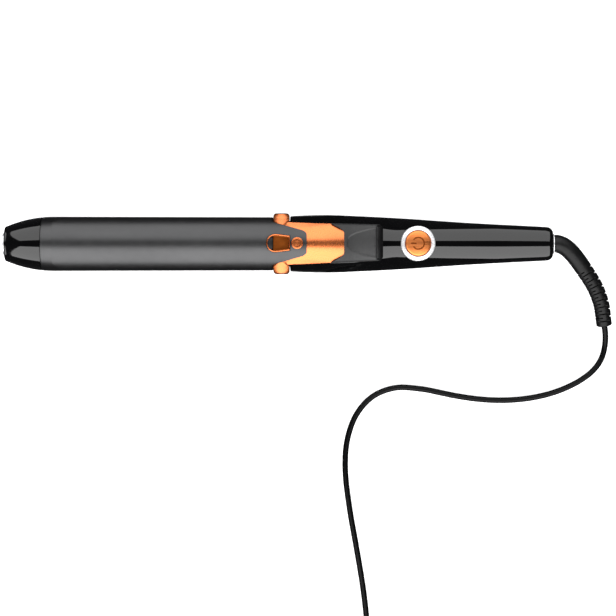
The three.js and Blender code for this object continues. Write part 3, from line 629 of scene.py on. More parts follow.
def coil_line(turns, start_angle, per_turn=26):
    """Turns wound inwards and outwards by layers, each a cord's width from its neighbours."""
    pitch = 2 * CORD_R
    outer = COIL_R + pitch * (COIL_WIDE - 1) / 2
    points = []
    for i in range(int(turns * per_turn) + 1):
        run = min(i / per_turn, turns)
        layer = int(min(COIL_HIGH - 1, run // COIL_WIDE))
        share = run - layer * COIL_WIDE
        # Across one layer the line steps from one lane to the next in the last fifth of each turn.
        lane = min(COIL_WIDE - 1, int(share))
        step = smooth((share - lane - 0.8) / 0.2)
        across = lane + (step if lane < COIL_WIDE - 1 else 0)
        rise = step if lane == COIL_WIDE - 1 and layer < COIL_HIGH - 1 else 0
        if layer % 2:
            across = COIL_WIDE - 1 - across
        radius = outer - pitch * across
        angle = start_angle - 2 * math.pi * run
        points.append((COIL_X + radius * math.cos(angle), COIL_Y + radius * math.sin(angle),
                       COIL_Z + CORD_R + pitch * (layer + rise)))
    return points


def make_cord():
    lead = catmull(LEAD_ROUTE, 8)
    turns = COIL_WIDE * COIL_HIGH - 0.75
    coil = coil_line(turns, 0.0)
    tail_end = (PLUG_X - 8, PLUG_Y, PLUG_Z)      # inside the relief
    top = coil[-1][2]
    leave = COIL_X - 14.2
    route = [coil[-1], (COIL_X - 7, PLUG_Y, top - 0.2), (leave, PLUG_Y, 12), (leave - 8, PLUG_Y, 10.2),
             (leave - 17, PLUG_Y, 8), (leave - 24, PLUG_Y, 7.1), tail_end]
    tail = catmull(route, 5)
    join = catmull([lead[-2], lead[-1], coil[0], coil[1]], 4)[4:8]
    line = evenly(lead + join[1:] + coil + tail[1:], 2.4)
    cord = tube_along("mains_cord", line, lambda i: CORD_R, SHEATH, sides=12)
    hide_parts("cord_lead", "cord_coil", "cord_tail")
    return cord, [tuple(c * MM for c in p) for p in line]


def make_tie():
    """A rubber strap round the bundle."""
    half = COIL_WIDE * CORD_R + 0.1 + 2 * GAP
    top = COIL_Z + COIL_HIGH * 2 * CORD_R + GAP
    thick = 0.7
    x = COIL_X - COIL_R

    def loop(inset):
        corner = 2.4 - inset
        centres = [(half + thick - inset - corner, top + thick - inset - corner, 0),
                   (-(half + thick - inset - corner), top + thick - inset - corner, 90),
                   (-(half + thick - inset - corner), inset + corner, 180),
                   (half + thick - inset - corner, inset + corner, 270)]
        return [(u + corner * math.cos(math.radians(a0 + d)), v + corner * math.sin(math.radians(a0 + d)))
                for u, v, a0 in centres for d in range(0, 91, 15)]

    outer, inner = loop(0), loop(thick)
    rings = []
    for y, grow in ((-2.5, 0.15), (-2.35, 0), (2.35, 0), (2.5, 0.15)):
        rings.append([(x + u * (1 - grow * 0.02), COIL_Y + y, v) for u, v in outer])
    for y in (2.5, -2.5):
        rings.append([(x + u, COIL_Y + y, v) for u, v in inner])
    rings.append(rings[0])
    verts, faces = skin(rings, close_ends=False)
    return make_object("cord_strap", verts, faces, RUBBER, body="iron", slot="rubber", node="cord_tie")


def make_plug():
    """A flat two-pin plug with a waisted grip and a ribbed relief."""
    body_x = PLUG_X - RELIEF_LENGTH - GAP
    face_x = body_x - PLUG_LENGTH
    stations = [(0, 5.6, 5.2), (1.2, 6.6, 6.2), (4, 7.6, 6.6), (12, 8.3, 6.2), (20, 8.8, 6.0),
                (26, 10.8, 6.5), (30, 12.6, 6.9), (33.6, 12.9, 6.95), (34.6, 12.6, 6.7),
                (PLUG_LENGTH, 11.9, 6.1)]
    rings = []
    for along, wide, tall in catmull(stations, 5):
        ring = []
        for j in range(64):
            a = 2 * math.pi * j / 64
            c, s = math.cos(a), math.sin(a)
            y = wide * math.copysign(abs(c) ** 0.42, c)
            z = tall * math.copysign(abs(s) ** 0.5, s)
            ring.append((body_x - along, PLUG_Y + y, PLUG_Z + z))
        rings.append(ring)
    verts, faces = skin(rings)
    pieces = [make_object("plug_shell", verts, faces, GLOSS, body="iron", slot="gloss_black",
                          node="plug_body")]
    profile = [(PLUG_X - RELIEF_LENGTH, 0), (PLUG_X - RELIEF_LENGTH, 4.3)]
    ribs = 5
    for i in range(ribs):
        x = PLUG_X - RELIEF_LENGTH + 1.6 + i * 2.7
        r = mix(4.3, 3.0, (x - PLUG_X + RELIEF_LENGTH) / RELIEF_LENGTH)
        profile += [(x, r), (x + 0.2, r - 0.9), (x + 1.1, r - 0.95), (x + 1.3, r - 0.1)]
    profile += [(PLUG_X, 3.0), (PLUG_X, 0)]
    pieces.append(turned("plug_strain_relief", rounded(profile, 0.15, 2), RUBBER,
                         centre=(0, PLUG_Y, PLUG_Z), segments=48, body="iron", slot="rubber",
                         node="plug_relief"))
    for i, side in enumerate((-1, 1)):
        start = face_x - GAP
        end = start - 19
        profile = [(start, 0), (start, 2), (end + 1.4, 2), (end + 0.5, 1.6), (end, 0.8), (end, 0)]
        pieces.append(turned(f"plug_blade_{i + 1}", rounded(profile, 0.3, 3), BRASS,
                             centre=(0, PLUG_Y + side * 9.5, PLUG_Z), segments=40, body="iron",
                             slot="brass", node=f"plug_pin_{i + 1}"))
    return pieces


# ---- barrel and tip -----------------------------------------------------------------------

def tip_radius(x):
    return BARREL_R - TIP_ARC_R + math.sqrt(TIP_ARC_R ** 2 - min(0, x - SPOON_FRONT_X) ** 2)


def make_barrel():
    outside = [(x, tip_radius(x)) for x in np.linspace(BARREL_FRONT_X, SPOON_FRONT_X, 10)]
    profile = [(BARREL_FRONT_X, BARREL_BORE_R), (BARREL_FRONT_X, outside[0][1] - 0.25),
               (BARREL_FRONT_X + 0.08, outside[0][1] - 0.08)] + outside[1:]
    profile += [(BARREL_REAR_X - 0.3, BARREL_REAR_R), (BARREL_REAR_X, BARREL_REAR_R - 0.3),
                (BARREL_REAR_X, BARREL_BORE_R), (BARREL_FRONT_X, BARREL_BORE_R)]
    turned("barrel", profile, SATIN, centre=(0, 0, AXIS_Z), segments=192, sharp=50, body="iron",
           slot="satin_grey", node="barrel_tube")

    stem, rim = 3.2, 1.1
    edge = [(CAP_X, stem), (CAP_X, tip_radius(CAP_X + rim) - rim)]
    edge += [(CAP_X + rim - rim * math.cos(a), tip_radius(CAP_X + rim) - rim + rim * math.sin(a))
             for a in np.linspace(0.2, math.pi / 2 - 0.25, 7)]
    edge += [(x, tip_radius(x)) for x in np.linspace(CAP_X + rim, CAP_REAR_X - 0.25, 26)]
    edge += [(CAP_REAR_X - 0.07, tip_radius(CAP_REAR_X) - 0.07), (CAP_REAR_X, tip_radius(CAP_REAR_X) - 0.25)]
    inner = [(CAP_REAR_X, 12.6), (CAP_X + 5, 8.4), (CAP_X + 2.2, 6.8), (CAP_X + 2.2, stem), (CAP_X, stem)]
    turned("tip", edge + inner, GLOSS, centre=(0, 0, AXIS_Z), segments=192, sharp=50, body="iron",
           slot="gloss_black", node="tip_cap")

    r, stem_r = 6.5, 2.9
    face = [(TIP_X + 0.45, 0), (TIP_X + 0.4, 3), (TIP_X + 0.25, 4.8), (TIP_X + 0.05, 5.4), (TIP_X, 5.75),
            (TIP_X + 0.06, 6.1), (TIP_X + 0.3, 6.4), (TIP_X + 0.6, r), (CAP_X - GAP, r),
            (CAP_X - GAP, stem_r), (CAP_X + 2, stem_r), (CAP_X + 2, 0)]
    turned("tip_button", face, SILVER, centre=(0, 0, AXIS_Z), segments=96, body="iron", slot="silver",
           node="tip_disc")


# ---- clamp --------------------------------------------------------------------------------

def slot_shape(inset):
    r = SLOT_R - inset
    turn = 0.46 * math.pi
    arc = [(SLOT_ROUND_X + r * math.cos(a), r * math.sin(a))
           for a in np.linspace(turn, 2 * math.pi - turn, 24)]
    end_x, end_y = SLOT_END_X - inset, SLOT_END_HALF - inset
    return rounded(arc + [(end_x, -end_y), (end_x, end_y)], 0.5, 3)


def sleeve(name, xs, outer, inner, half, material):
    """Part of a tube about the barrel's axis, open below."""
    arc = np.linspace(-half, half, 97)
    rings = []
    for x in xs:
        ring = [(x, outer * math.sin(a), AXIS_Z + outer * math.cos(a)) for a in arc]
        ring += [(x, inner * math.sin(a), AXIS_Z + inner * math.cos(a)) for a in arc[::-1]]
        rings.append(ring)
    verts, faces = skin(rings)
    return make_object(name, verts, faces, material)


def make_spoon():
    outer = SPOON_INNER_R + SPOON_THICK
    side = outer * math.sin(math.radians(60))
    xs = np.linspace(SPOON_FRONT_X - 2, TONGUE_END_X + 2, 60)
    spoon = sleeve("spoon", xs, outer, SPOON_INNER_R, math.radians(66), SATIN)
    edge = [(SPOON_FRONT_X, -side + 2.9), (SPOON_FRONT_X + 2.6, -side + 0.6), (SPOON_FRONT_X + 5, -side),
            (-4.4, -side), (-3.2, -12.6), (14.9, -7.5), (TONGUE_END_X, -5.9)]
    plan = edge + [(x, -y) for x, y in reversed(edge)]
    boolean(spoon, prism("spoon_plan", rounded(plan, 0.7, 5), AXIS_Z + 2, AXIS_Z + 25), "INTERSECT")
    boolean(spoon, prism("spoon_slot", slot_shape(0), AXIS_Z, AXIS_Z + 30), "DIFFERENCE")
    drill(spoon, 1.8, AXIS_Z, AXIS_Z + 30, centre=(STUD_X, 0, 0))
    bevel(spoon, 0.34, 3, 40)
    settle(spoon, SATIN, 40, "clamp", "satin_grey", "clamp_spoon")


def crown(x):
    """Height of the lever's middle line above the barrel's axis."""
    t = max(0, (x - LEVER_FLAT_END_X) / (LEVER_END_X - LEVER_FLAT_END_X))
    return SADDLE_R + 11.6 * mix(t, smooth(t), 0.45)


def lever_half_width(x):
    return mix(12.6, 10.5, max(0, (x - 6.7) / (PAD_END_X - 6.7)))


def arch_drop(x, y):
    radius = mix(SADDLE_R, 23, clamp01((x - LEVER_FLAT_END_X) / 36))
    steepest = math.radians(39)
    inner = min(abs(y), radius * math.sin(steepest))
    return radius - math.sqrt(radius ** 2 - inner ** 2) + (abs(y) - inner) * math.tan(steepest)


def arched_plate(name, xs, columns, half, top, bottom, material):
    """A plate between two surfaces, each a height above the axis at the middle, arched across."""
    rings = []
    for x in xs:
        w = half(x)
        across = [w * (2 * j / columns - 1) for j in range(columns + 1)]
        ring = [(x, y, AXIS_Z + top(x, y / w) - arch_drop(x, y)) for y in across]
        ring += [(x, y, AXIS_Z + bottom(x) - arch_drop(x, y)) for y in reversed(across)]
        rings.append(ring)
    verts, faces = skin(rings)
    return make_object(name, verts, faces, material)


def ear(side):
    """A strap that slopes down from the saddle and ends in a round boss at the pivot."""
    profile = [(10, 0), (10, 12.3), (10.7, 11.8), (12, 10.75), (13, 9.95), (14, 9.15), (15, 8.35), (16, 7.6),
               (17, 6.8), (17.6, 6.3), (17.85, 5.9), (17.97, 5), (EAR_HALF_Y, 0)]
    points = [(side * along, radius) for along, radius in profile]
    front, rear = PIVOT_X - EAR_R, PIVOT_X + EAR_R
    boss = turned("ear", points, COPPER, axis="Y", centre=(PIVOT_X, 0, AXIS_Z), segments=96)
    strap = [(PIVOT_X + EAR_R * math.cos(a), AXIS_Z + EAR_R * math.sin(a))
             for a in np.linspace(math.pi, 2 * math.pi, 40)]
    strap += [(rear, AXIS_Z + 14), (front, AXIS_Z + 14)]
    boolean(boss, prism("strap", strap, -20, 20, plane="XZ"), "INTERSECT")
    corner = [(front, 0), (front, side * EAR_HALF_Y), (rear, side * EAR_HALF_Y), (rear, 0)][::side]
    boolean(boss, prism("ear_plan", rounded(corner, 2.1, 7), 0, 40), "INTERSECT")
    drill(boss, SADDLE_BORE_R, -20, 20, axis="X", centre=(0, 0, AXIS_Z), segments=128)
    return boss


def make_lever():
    low, high = PIVOT_X - EAR_R, PIVOT_X + EAR_R
    # The saddle ends a little short of the ears, clear of the handle when the clamp opens.
    lever = sleeve("thumb_lever", np.linspace(low, high - 0.6, 12), SADDLE_R, SADDLE_BORE_R,
                   math.radians(86), COPPER)
    plate = arched_plate("lever_plate", np.linspace(high - 1.6, LEVER_END_X, 90), 48, lever_half_width,
                         lambda x, v: crown(x) - 0.05, lambda x: crown(x) - LEVER_THICK, COPPER)
    boolean(lever, plate, "UNION")
    rim = prism("rim", slot_shape(0.2), AXIS_Z + 14.9, AXIS_Z + 17.85)
    boolean(rim, prism("over_barrel", rect(-20, -20, low, 20), 0, AXIS_Z + 16.3), "DIFFERENCE")
    boolean(lever, rim, "UNION")
    boolean(lever, prism("pocket", slot_shape(0.85), AXIS_Z + 14.75, AXIS_Z + 22), "DIFFERENCE")
    for side in (-1, 1):
        boolean(lever, ear(side), "UNION")
    remeshed(lever, 0.22, 3)
    drill(lever, 1.75, AXIS_Z, AXIS_Z + 30, centre=(STUD_X, 0, 0))
    for side in (-1, 1):
        drill(lever, 1.65, side * 12, side * 16.9, axis="Y", centre=(PIVOT_X, 0, AXIS_Z))
    settle(lever, COPPER, 60, "clamp", "copper", "lever")
    # The pocket's floor and walls take the darker copper of the engraved marks: painted shade for the recess
    # under the rim.
    lever.data.materials.append(ENGRAVED_AND_POCKET_SHADE)
    for polygon in lever.data.polygons:
        x, y, z = polygon.center / MM
        if x < STUD_X - 3.4 and abs(y) < 4.6 and 14.6 < z - AXIS_Z < 17.2:
            polygon.material_index = 1


def pad_thickness(x, v):
    """Thickness of the thumb pad, with a parabola-shaped scoop and a lip behind it."""
    y = v * lever_half_width(x)
    plain = mix(1.7, 2.8, clamp01((x - PAD_FRONT_X) / 14))
    u = clamp01((x - 40.2) / 17.2)
    scoop_half = 9.1 * u ** 0.32
    inside = smooth((scoop_half - abs(y)) / 1.3) * smooth((57.5 - x) / 0.5) * (1 if x > 40.2 else 0)
    scoop = inside * (0.55 + 0.5 * (1 - (y / 10) ** 2))
    lip = 0.95 * smooth((x - 57.1) / 0.7) * smooth((10.1 - abs(y)) / 1.2)
    round_off = 0.9 * clamp01((abs(v) - 0.9) / 0.1) ** 2 + 2.4 * clamp01((x - 58) / 3.3) ** 1.7
    return max(0.45, plain - scoop + lip - round_off)


def make_thumb_pad():
    xs = np.concatenate([np.linspace(PAD_FRONT_X - 1, 40, 24), np.linspace(40.2, 56.9, 64),
                         np.linspace(57, PAD_END_X, 40)])
    pad = arched_plate("thumb_rest", xs, 128, lever_half_width,
                       lambda x, v: crown(x) + GAP + pad_thickness(x, v), lambda x: crown(x) + GAP, PAD)
    notch = [(PAD_FRONT_X - 5, -15), (PAD_FRONT_X + 0.2, -12), (37, -8.2), (38.7, -6.4),
             (38.7, 6.4), (37, 8.2), (PAD_FRONT_X + 0.2, 12), (PAD_FRONT_X - 5, 15)]
    boolean(pad, prism("notch", rounded(notch, 0.9, 5), 0, 60), "DIFFERENCE")
    corner = 2.6
    half = lever_half_width(PAD_END_X) - 0.05
    plan = [(PAD_FRONT_X - 9, -14), (PAD_FRONT_X + 8, -14), (PAD_END_X - corner, -half - 0.1)]
    plan += [(PAD_END_X - corner + corner * math.sin(a), -half + corner - corner * math.cos(a))
             for a in np.linspace(0.1, math.pi / 2, 9)]
    plan += [(x, -y) for x, y in reversed(plan)]
    boolean(pad, prism("pad_plan", plan, 0, 70), "INTERSECT")
    bevel(pad, 0.22, 3, 42)
    settle(pad, PAD, 42, "clamp", "pad_grey", "thumb_pad")
    # The lip and the rear end take the darker copy of the plastic: painted shade where the end falls away.
    pad.data.materials.append(SHADED_LIP)
    for polygon in pad.data.polygons:
        if polygon.center.x > 57.9 * MM and abs(polygon.center.y) < 10.2 * MM:
            polygon.material_index = 1
    # Three small raised marks along the rear of the scoop.
    for i, y in enumerate((-2.4, 0, 2.4)):
        x = 56.2
        z = AXIS_Z + crown(x) + GAP + pad_thickness(x, y / lever_half_width(x)) - arch_drop(x, y)
        slope = math.atan2(crown(x + 1) - crown(x - 1), 2)
        mark = turned(f"pad_mark_{i + 1}", [(-0.4, 0), (-0.4, 0.45), (0.05, 0.45), (0.16, 0.34), (0.2, 0)],
                      PAD, axis="Z", segments=20)
        mark.data.transform(Matrix.Translation((x * MM, y * MM, z * MM)) @ Matrix.Rotation(-slope, 4, "Y"))
        settle(mark, PAD, 35, "clamp", "pad_grey")


def make_stud():
    head = AXIS_Z + SPOON_INNER_R + SPOON_THICK + GAP
    under = AXIS_Z + SADDLE_R - LEVER_THICK - GAP
    profile = [(under - 1, 0), (under - 1, 2.4), (under - 0.8, 2.6), (under, 2.6), (under, 1.5), (head, 1.5),
               (head, 3.35), (head + 0.12, 3.5), (head + 0.45, 3.5), (head + 0.75, 3.35), (head + 0.9, 3.05),
               (head + 0.88, 2.75), (head + 0.8, 2.5), (head + 0.95, 1.5), (head + 1.02, 0)]
    turned("stud", profile, COPPER, axis="Z", centre=(STUD_X, 0, 0), segments=72, sharp=50, body="clamp",
           slot="copper", node="clamp_stud")


# ---- handle -------------------------------------------------------------------------------

def crown_point(x, wide, high, angle):
    """Upper half of a section, from the seam at angle 0 to the top: a curved flank, then a round crown."""
    radius = wide * (mix(1, 0.76, clamp01((x - 45) / 24)) + 0.39 * clamp01((x - 69) / 60))
    knee = math.pi / 4
    lean = math.pi / 4

    def knee_at(tilt):
        y, z = radius * math.sin(tilt), high - radius * (1 - math.cos(tilt))
        return y, z, z - (wide - y) * math.tan(tilt)

    while lean > 0.1 and (knee_at(lean)[2] < 0 or knee_at(lean)[0] > 0.92 * wide):
        lean -= 0.01
    if angle > knee:
        tilt = lean * (math.pi / 2 - angle) / (math.pi / 2 - knee)
        return radius * math.sin(tilt), high - radius * (1 - math.cos(tilt))
    knee_y, knee_z, control_z = knee_at(lean)
    t = angle / knee
    return (1 - t * t) * wide + t * t * knee_y, 2 * t * (1 - t) * control_z + t * t * knee_z


def section_point(x, wide, high, deep, angle, power=None):
    """A point of a section: a superellipse, but for the handle's crowned upper half."""
    c, s = math.cos(angle), math.sin(angle)
    if s > 0 and power is None:
        y, z = crown_point(x, wide, high, math.atan2(s, abs(c)))
        return x, math.copysign(y, c), z
    power = power or 2.15
    y = wide * math.copysign(abs(c) ** (2 / power), c)
    z = (high if s > 0 else deep) * math.copysign(abs(s) ** (2 / power), s)
    return x, y, z


def make_handle_half(name, side):
    """One half of the handle: a shell split at the seam, with its nose under the saddle."""
    # The upper half keeps clear of the saddle, which leans back as the clamp opens.
    front_x = HANDLE_X if side > 0 else HANDLE_X - 0.25
    nose = [(x, NOSE_R - d, NOSE_TOP - d, NOSE_R - d)
            for x, d in ((NOSE_X, 0.5), (NOSE_X + 0.15, 0.15), (NOSE_X + 0.5, 0), (front_x - 0.2, 0))]
    body = [tuple(s) for s in catmull(HANDLE_SECTIONS, 9)]
    first = body[0]
    front = [(front_x + g, first[1] - d, first[2] - d, first[3] - d)
             for g, d in ((0, 0.9), (0.06, 0.5), (0.3, 0.12))]
    tail = [(160.4, 9.85, 8.6, 9.6), (161.5, 9.3, 8.1, 9.1), (162.3, 8.5, 7.4, 8.3), (162.75, 7.6, 6.7, 7.4),
            (162.9, 6.6, 5.9, 6.5), (HANDLE_END_X, 4.5, 4.5, 4.5)]
    inner = [(158, 4.5, 4.5, 4.5), (156.5, 7.5, 6.4, 7.4)]
    inner += [(x, w - WALL, h - WALL, d - WALL) for x, w, h, d in reversed(body) if 15 < x < 152]
    inner += [(HANDLE_X + WALL, 14.4, 5.6, 11.2), (HANDLE_X + WALL, 10.7, 5.6, 10.7),
              (NOSE_X, 10.7, 10.7, 10.7)]
    sections = nose + front + body[1:] + tail + inner
    steps = 72
    grid = []
    for j in range(steps + 1):
        angle = math.pi * j / steps * side
        column = []
        for i, (x, wide, high, deep) in enumerate(sections):
            round_part = i < len(nose) or i >= len(sections) - 1 or x > 162.85
            x, y, z = section_point(x, wide, high, deep, angle, 2.0 if round_part else None)
            seam = 0.15
            if j in (0, steps):
                z = side * seam
                y -= math.copysign(0.2, y)
            else:
                z = side * max(abs(z), seam + 0.2)
            if side > 0 and front_x - 0.1 < x < 22:
                # The shoulder leans back over the saddle's path.
                x += z * math.tan(math.radians(13)) * (1 - smooth((x - front_x) / 13))
            column.append((x, y, AXIS_Z + z))
        grid.append(column)
    verts, faces = [], []
    n = len(sections)
    for column in grid:
        verts += column
    for j in range(steps):
        for i in range(n):
            k = (i + 1) % n
            faces.append((j * n + i, (j + 1) * n + i, (j + 1) * n + k, j * n + k))
    faces.append(tuple(range(n)))
    faces.append(tuple(range(steps * n, (steps + 1) * n)))
    return make_object(name, verts, faces, GLOSS)


def make_handle():
    upper = make_handle_half("handle_top", 1)
    drill(upper, RING_R + 0.12, -9, 9, segments=96, frame=button_frame())
    lower = make_handle_half("handle_base", -1)
    for x in SCREW_X:
        drill(lower, 2.9, -2, SCREW_SEAT_Z, centre=(x, 0, 0))
        boss = [(4.2, 2.75), (4.2, 4), (AXIS_Z - 0.5, 4), (AXIS_Z - 0.5, 1.55), (SCREW_SEAT_Z, 1.55),
                (SCREW_SEAT_Z, 2.75), (4.2, 2.75)]
        turned("screw_boss", boss, GLOSS, axis="Z", centre=(x, 0, 0), segments=48, body="iron",
               slot="gloss_black")
    boolean(lower, stand_room(), "DIFFERENCE")
    settle(upper, GLOSS, 40, "iron", "gloss_black", "handle_upper")
    settle(lower, GLOSS, 40, "iron", "gloss_black", "handle_lower")
    make_stand_housing()


def stand_room():
    """The space for the stand's neck and hinge."""
    half = STAND_NECK + GAP
    return prism("room", rect(STAND_ROOM_FRONT_X, -half, STAND_ROOM_REAR_X, half), -1, 7.1)


def make_stand_housing():
    """The box inside the handle that carries the stand's pin, with two lugs below."""
    wall = 1.2
    half = STAND_NECK + GAP
    plan = rect(STAND_ROOM_FRONT_X - wall, -half - wall, STAND_ROOM_REAR_X + wall, half + wall)
    outer = prism("stand_housing", plan, 4.6, 8.4)
    boolean(outer, stand_room(), "DIFFERENCE")
    for side in (-1, 1):
        lug = prism("lug", rounded([(9.6, 1.4), (16.4, 1.4), (17, 5.2), (9, 5.2)], 1.2, 6), half, half + 2.2,
                    plane="XZ")
        lug.data.transform(Matrix.Diagonal((1, side, 1, 1)))
        if side < 0:
            lug.data.flip_normals()
        boolean(outer, lug, "UNION")
    drill(outer, 1.3, -12, 12, axis="Y", centre=(STAND_HINGE_X, 0, STAND_HINGE_Z), segments=32)
    bevel(outer, 0.2, 2, 50)
    settle(outer, GLOSS, 35, "iron", "gloss_black")


# ---- button -------------------------------------------------------------------------------

def button_frame():
    """From millimetres about the ring's top centre, in metres, to the row frame."""
    return (Matrix.Translation((BUTTON_X * MM, 0, BUTTON_Z * MM))
            @ Matrix.Rotation(BUTTON_TILT, 4, "Y"))


def make_button():
    bore = BUTTON_R + GAP
    ring = [(-6.5, 2.3), (-6.5, RING_R), (-1.1, RING_R)]
    ring += [(-1.1 + 1.1 * math.sin(a), RING_R - 1.1 + 1.1 * math.cos(a))
             for a in np.linspace(0.2, 1.5, 8)]
    ring += [(0, RING_R - 1.5), (-0.05, bore + 0.5), (-0.35, bore + 0.12), (-0.8, bore), (-5, bore),
             (-5, 2.3), (-6.5, 2.3)]
    bezel = turned("button_bezel", ring, SILVER, axis="Z", segments=144, sharp=50)
    bezel.data.transform(button_frame())
    settle(bezel, SILVER, 50, "iron", "silver", "button_ring")

    face = [(-8.7, 0), (-8.7, 1.9), (-2, 1.9), (-2, BUTTON_R), (-0.75, BUTTON_R), (-0.45, BUTTON_R - 0.12)]
    face += [(0.5 - r * r / 68, r) for r in np.linspace(BUTTON_R - 0.5, 0, 14)]
    button = turned("button_cap", face, BRUSHED, axis="Z", segments=144, sharp=50)
    mark_r, stroke, depth = 3.45, 0.42, 0.15
    gap = math.radians(33)
    arc = np.linspace(math.pi + gap, 3 * math.pi - gap, 60)
    mark = [((mark_r + stroke) * math.cos(a), (mark_r + stroke) * math.sin(a)) for a in arc]
    mark += [((mark_r - stroke) * math.cos(a), (mark_r - stroke) * math.sin(a)) for a in arc[::-1]]
    bar = rect(-4.4, -stroke, -1.1, stroke)
    for i, shape in enumerate((mark, bar)):
        boolean(button, prism("mark_cut", shape, -depth, 3), "DIFFERENCE")
        inlay = prism(f"button_mark_{i + 1}", shape, -depth - 0.1, -depth + 0.02)
        inlay.data.transform(button_frame())
        settle(inlay, ENGRAVED_AND_POCKET_SHADE, 35, "power_button", "copper")
    button.data.transform(button_frame())
    settle(button, BRUSHED, 50, "power_button", "copper", "power_button")


# ---- swivel, strain relief, stand, screws and springs -------------------------------------

def make_swivel_end():
    front = HANDLE_END_X + 0.2
    profile = [(front, 4.3), (front, 5.75), (front + 0.12, 5.9), (SWIVEL_END_X - 0.15, 5.9),
               (SWIVEL_END_X, 5.7), (SWIVEL_END_X, 4.3), (front, 4.3)]
    turned("end_collar", profile, SILVER, centre=(0, 0, AXIS_Z), segments=96, body="cord_swivel",
           slot="silver", node="swivel_collar")


def make_boot():
    """The elbow: a smooth root, then short segments between slots, bent to its path."""
    path = evenly(catmull([(x, -out) for x, out in BOOT_PATH], 16), 0.4)
    length = line_length(path)

    def radius(s):
        return mix(5.35, 4.65, s / length)

    stations = np.linspace(0, length, 100)
    profile = [(0, 0), (0, radius(0) - 0.3), (0.3, radius(0))] + [(s, radius(s)) for s in stations[1:-1]]
    profile += [(length - 0.3, radius(length)), (length, radius(length) - 0.3), (length, 0)]
    boot = turned("elbow_boot", profile, RUBBER, segments=56)
    pitch = (length - 26) / 8
    for i in range(8):
        s = 24.5 + i * pitch
        # Square notches in the two sides, which show in the outline, deeper on the outer bend.
        outer_reach = mix(4.2, 2.7, min(1, i / 3))
        inner_reach = 4.1 if i < 7 else 2.9
        for side, reach, wide in ((1, outer_reach, 1.5), (-1, inner_reach, 1.0)):
            cut = rect(s, side * reach, s + wide, side * 7)
            boolean(boot, prism("slot", cut, -5, 5), "DIFFERENCE")
        # Long slots across the top and bottom between them, and a short one beside each notch.
        for side in (-1, 1):
            low, high = sorted((side * 3.1, side * 7))
            for start, wide, left, right in ((s + pitch * 0.5, 0.8, -5.6, 3.2), (s + 0.1, 0.8, -4.9, -0.6)):
                cut = rect(start, left, start + wide, right)
                boolean(boot, prism("slot", cut, low, high), "DIFFERENCE")
    run = np.arange(len(path)) * (length / (len(path) - 1))
    p = np.array(path)
    step = 0.6

    def on_path(s):
        return np.array([np.interp(s, run, p[:, k]) for k in range(2)])

    for vertex in boot.data.vertices:
        s, y, z = (c / MM for c in vertex.co)
        along = on_path(min(length, s + step)) - on_path(max(0, s - step))
        along /= np.linalg.norm(along)
        flat = on_path(s) + y * np.array([-along[1], along[0]])
        vertex.co = (flat[0] * MM, flat[1] * MM, z * MM)
    boot.data.transform(Matrix.Translation((0, 0, AXIS_Z * MM)) @ Matrix.Rotation(BOOT_TILT, 4, "X"))
    settle(boot, RUBBER, 35, "cord_swivel", "rubber", "strain_relief")
    return boot


def make_stand_leg():
    neck, half, thick = STAND_NECK, 11, 2.4
    plan = [(STAND_HINGE_X, -neck), (17.6, -neck), (17.6, -half), (STAND_END_X, -half), (STAND_END_X, half),
            (17.6, half), (17.6, neck), (STAND_HINGE_X, neck)]
    plan = plan[:2] + rounded(plan[1:7], 3.6, 6)[1:-1] + plan[6:]
    leg = prism("stand_leg", plan, 0, thick)
    boolean(leg, prism("step", rect(0, -20, 16, 20), -1, 0.6), "DIFFERENCE")
    bevel(leg, 0.45, 3, 40)
    # Shallow grip grooves across the free end's underside.
    for x in (43.5, 45.5, 47.5, 49.5):
        boolean(leg, prism("groove", rect(x, -6, x + 0.8, 6), -1, 0.35), "DIFFERENCE")
    hinge = (STAND_HINGE_X, 0, STAND_HINGE_Z)
    profile = [(-neck, 0), (-neck, 2.7), (-neck + 0.2, 2.9), (neck - 0.2, 2.9), (neck, 2.7), (neck, 0)]
    boolean(leg, turned("knuckle", profile, DARK, axis="Y", centre=hinge, segments=64), "UNION")
    drill(leg, 1.4, -20, 20, axis="Y", centre=hinge, segments=40)
    settle(leg, DARK, 35, "stand", "dark_plastic", "stand")
    profile = [(-10.4, 0), (-10.4, 1), (-10.2, 1.2), (10.2, 1.2), (10.4, 1), (10.4, 0)]
    turned("hinge_pin", profile, STEEL, axis="Y", centre=hinge, segments=40, body="iron", slot="steel",
           node="stand_pin")


def make_screws():
    for i, x in enumerate(SCREW_X):
        bottom = SCREW_SEAT_Z - GAP
        head = bottom - 1.6
        profile = [(head, 0), (head, 1.7), (bottom - 1.3, 2.2), (bottom - 0.8, 2.4), (bottom, 2.4),
                   (bottom, 1.2), (AXIS_Z + 3.4, 1.2), (AXIS_Z + 4, 0)]
        screw = turned(f"screw_{i + 1}", profile, STEEL, axis="Z", centre=(x, 0, 0), segments=40)
        for turn in (0, math.pi / 2):
            slot_cut = prism("cross", rect(-1.4, -0.28, 1.4, 0.28), -1, 0.9)
            slot_cut.data.transform(Matrix.Translation((x * MM, 0, head * MM))
                                    @ Matrix.Rotation(turn + 0.5 + i, 4, "Z"))
            boolean(screw, slot_cut, "DIFFERENCE")
        settle(screw, STEEL, 35, "iron", "steel", f"handle_screw_{i + 1}")


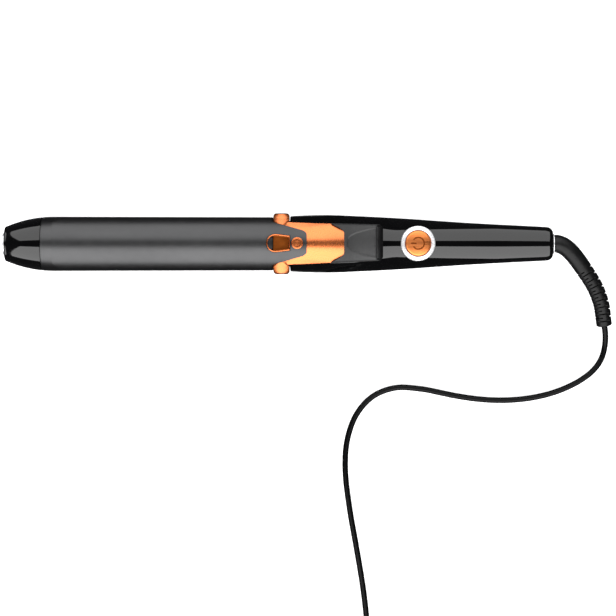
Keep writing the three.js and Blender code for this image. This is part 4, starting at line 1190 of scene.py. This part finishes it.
def make_spring(name, radius, low, high, wire, turns, frame, node):
    count = int(turns * 28)
    line = []
    for i in range(count + 1):
        angle = 2 * math.pi * turns * i / count
        along = mix(low + wire, high - wire, i / count)
        line.append((radius * math.cos(angle), radius * math.sin(angle), along))
    spring = tube_along(name, line, lambda i: wire, STEEL, sides=10)
    spring.data.transform(frame)
    settle(spring, STEEL, 60, "iron", "steel", node)
    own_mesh(spring)


def make_springs():
    # The clamp's coil is a stand-in: narrow, and fixed as built, though it has no room when the clamp is
    # open.
    top = AXIS_Z + crown(SPRING_X) - LEVER_THICK - 0.9
    place = Matrix.Translation((SPRING_X * MM, 0, 0))
    make_spring("return_coil", 2.4, SPRING_BASE_Z, top, 0.4, 3, place, "clamp_spring")
    make_spring("button_coil", 3.6, -4.8, -2.2, 0.3, 2, button_frame(), "button_spring")


INNER_FINISHES = {
    "barrel_collar": DARK, "heater_shell_upper": ALUMINIUM, "heater_shell_lower": ALUMINIUM,
    "ptc_heater": CERAMIC, "heater_spring": STEEL, "temperature_sensor": DARK, "thermal_fuse": STEEL,
    "heater_lead_live": RED, "heater_lead_neutral": DARK, "pivot_pin_left": STEEL, "pivot_pin_right": STEEL,
    "circuit_board": BOARD, "tact_switch": DARK, "capacitor": RED, "triac": DARK, "terminal_block": CERAMIC,
    "contact_live": BRASS, "contact_neutral": BRASS, "contact_holder": DARK, "swivel_spindle": DARK,
    "slip_ring_live": BRASS, "slip_ring_neutral": BRASS,
}


def finish_inner_nodes():
    for name, material in INNER_FINISHES.items():
        node = bpy.data.objects[name]
        finish_mesh(node, material, 30)


# ---- build --------------------------------------------------------------------------------

make_world()
make_camera()
make_softbox("softbox_front", -1, 3.9)
make_softbox("softbox_back", 1, 2.5)
make_floor()

make_barrel()
make_spoon()
make_lever()
make_thumb_pad()
make_stud()
make_handle()
make_button()
make_swivel_end()
boot = make_boot()
make_stand_leg()
make_screws()
make_springs()
finish_inner_nodes()

cord, cord_path = make_cord()
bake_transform(cord)
cord_pieces = [make_tie()] + make_plug()
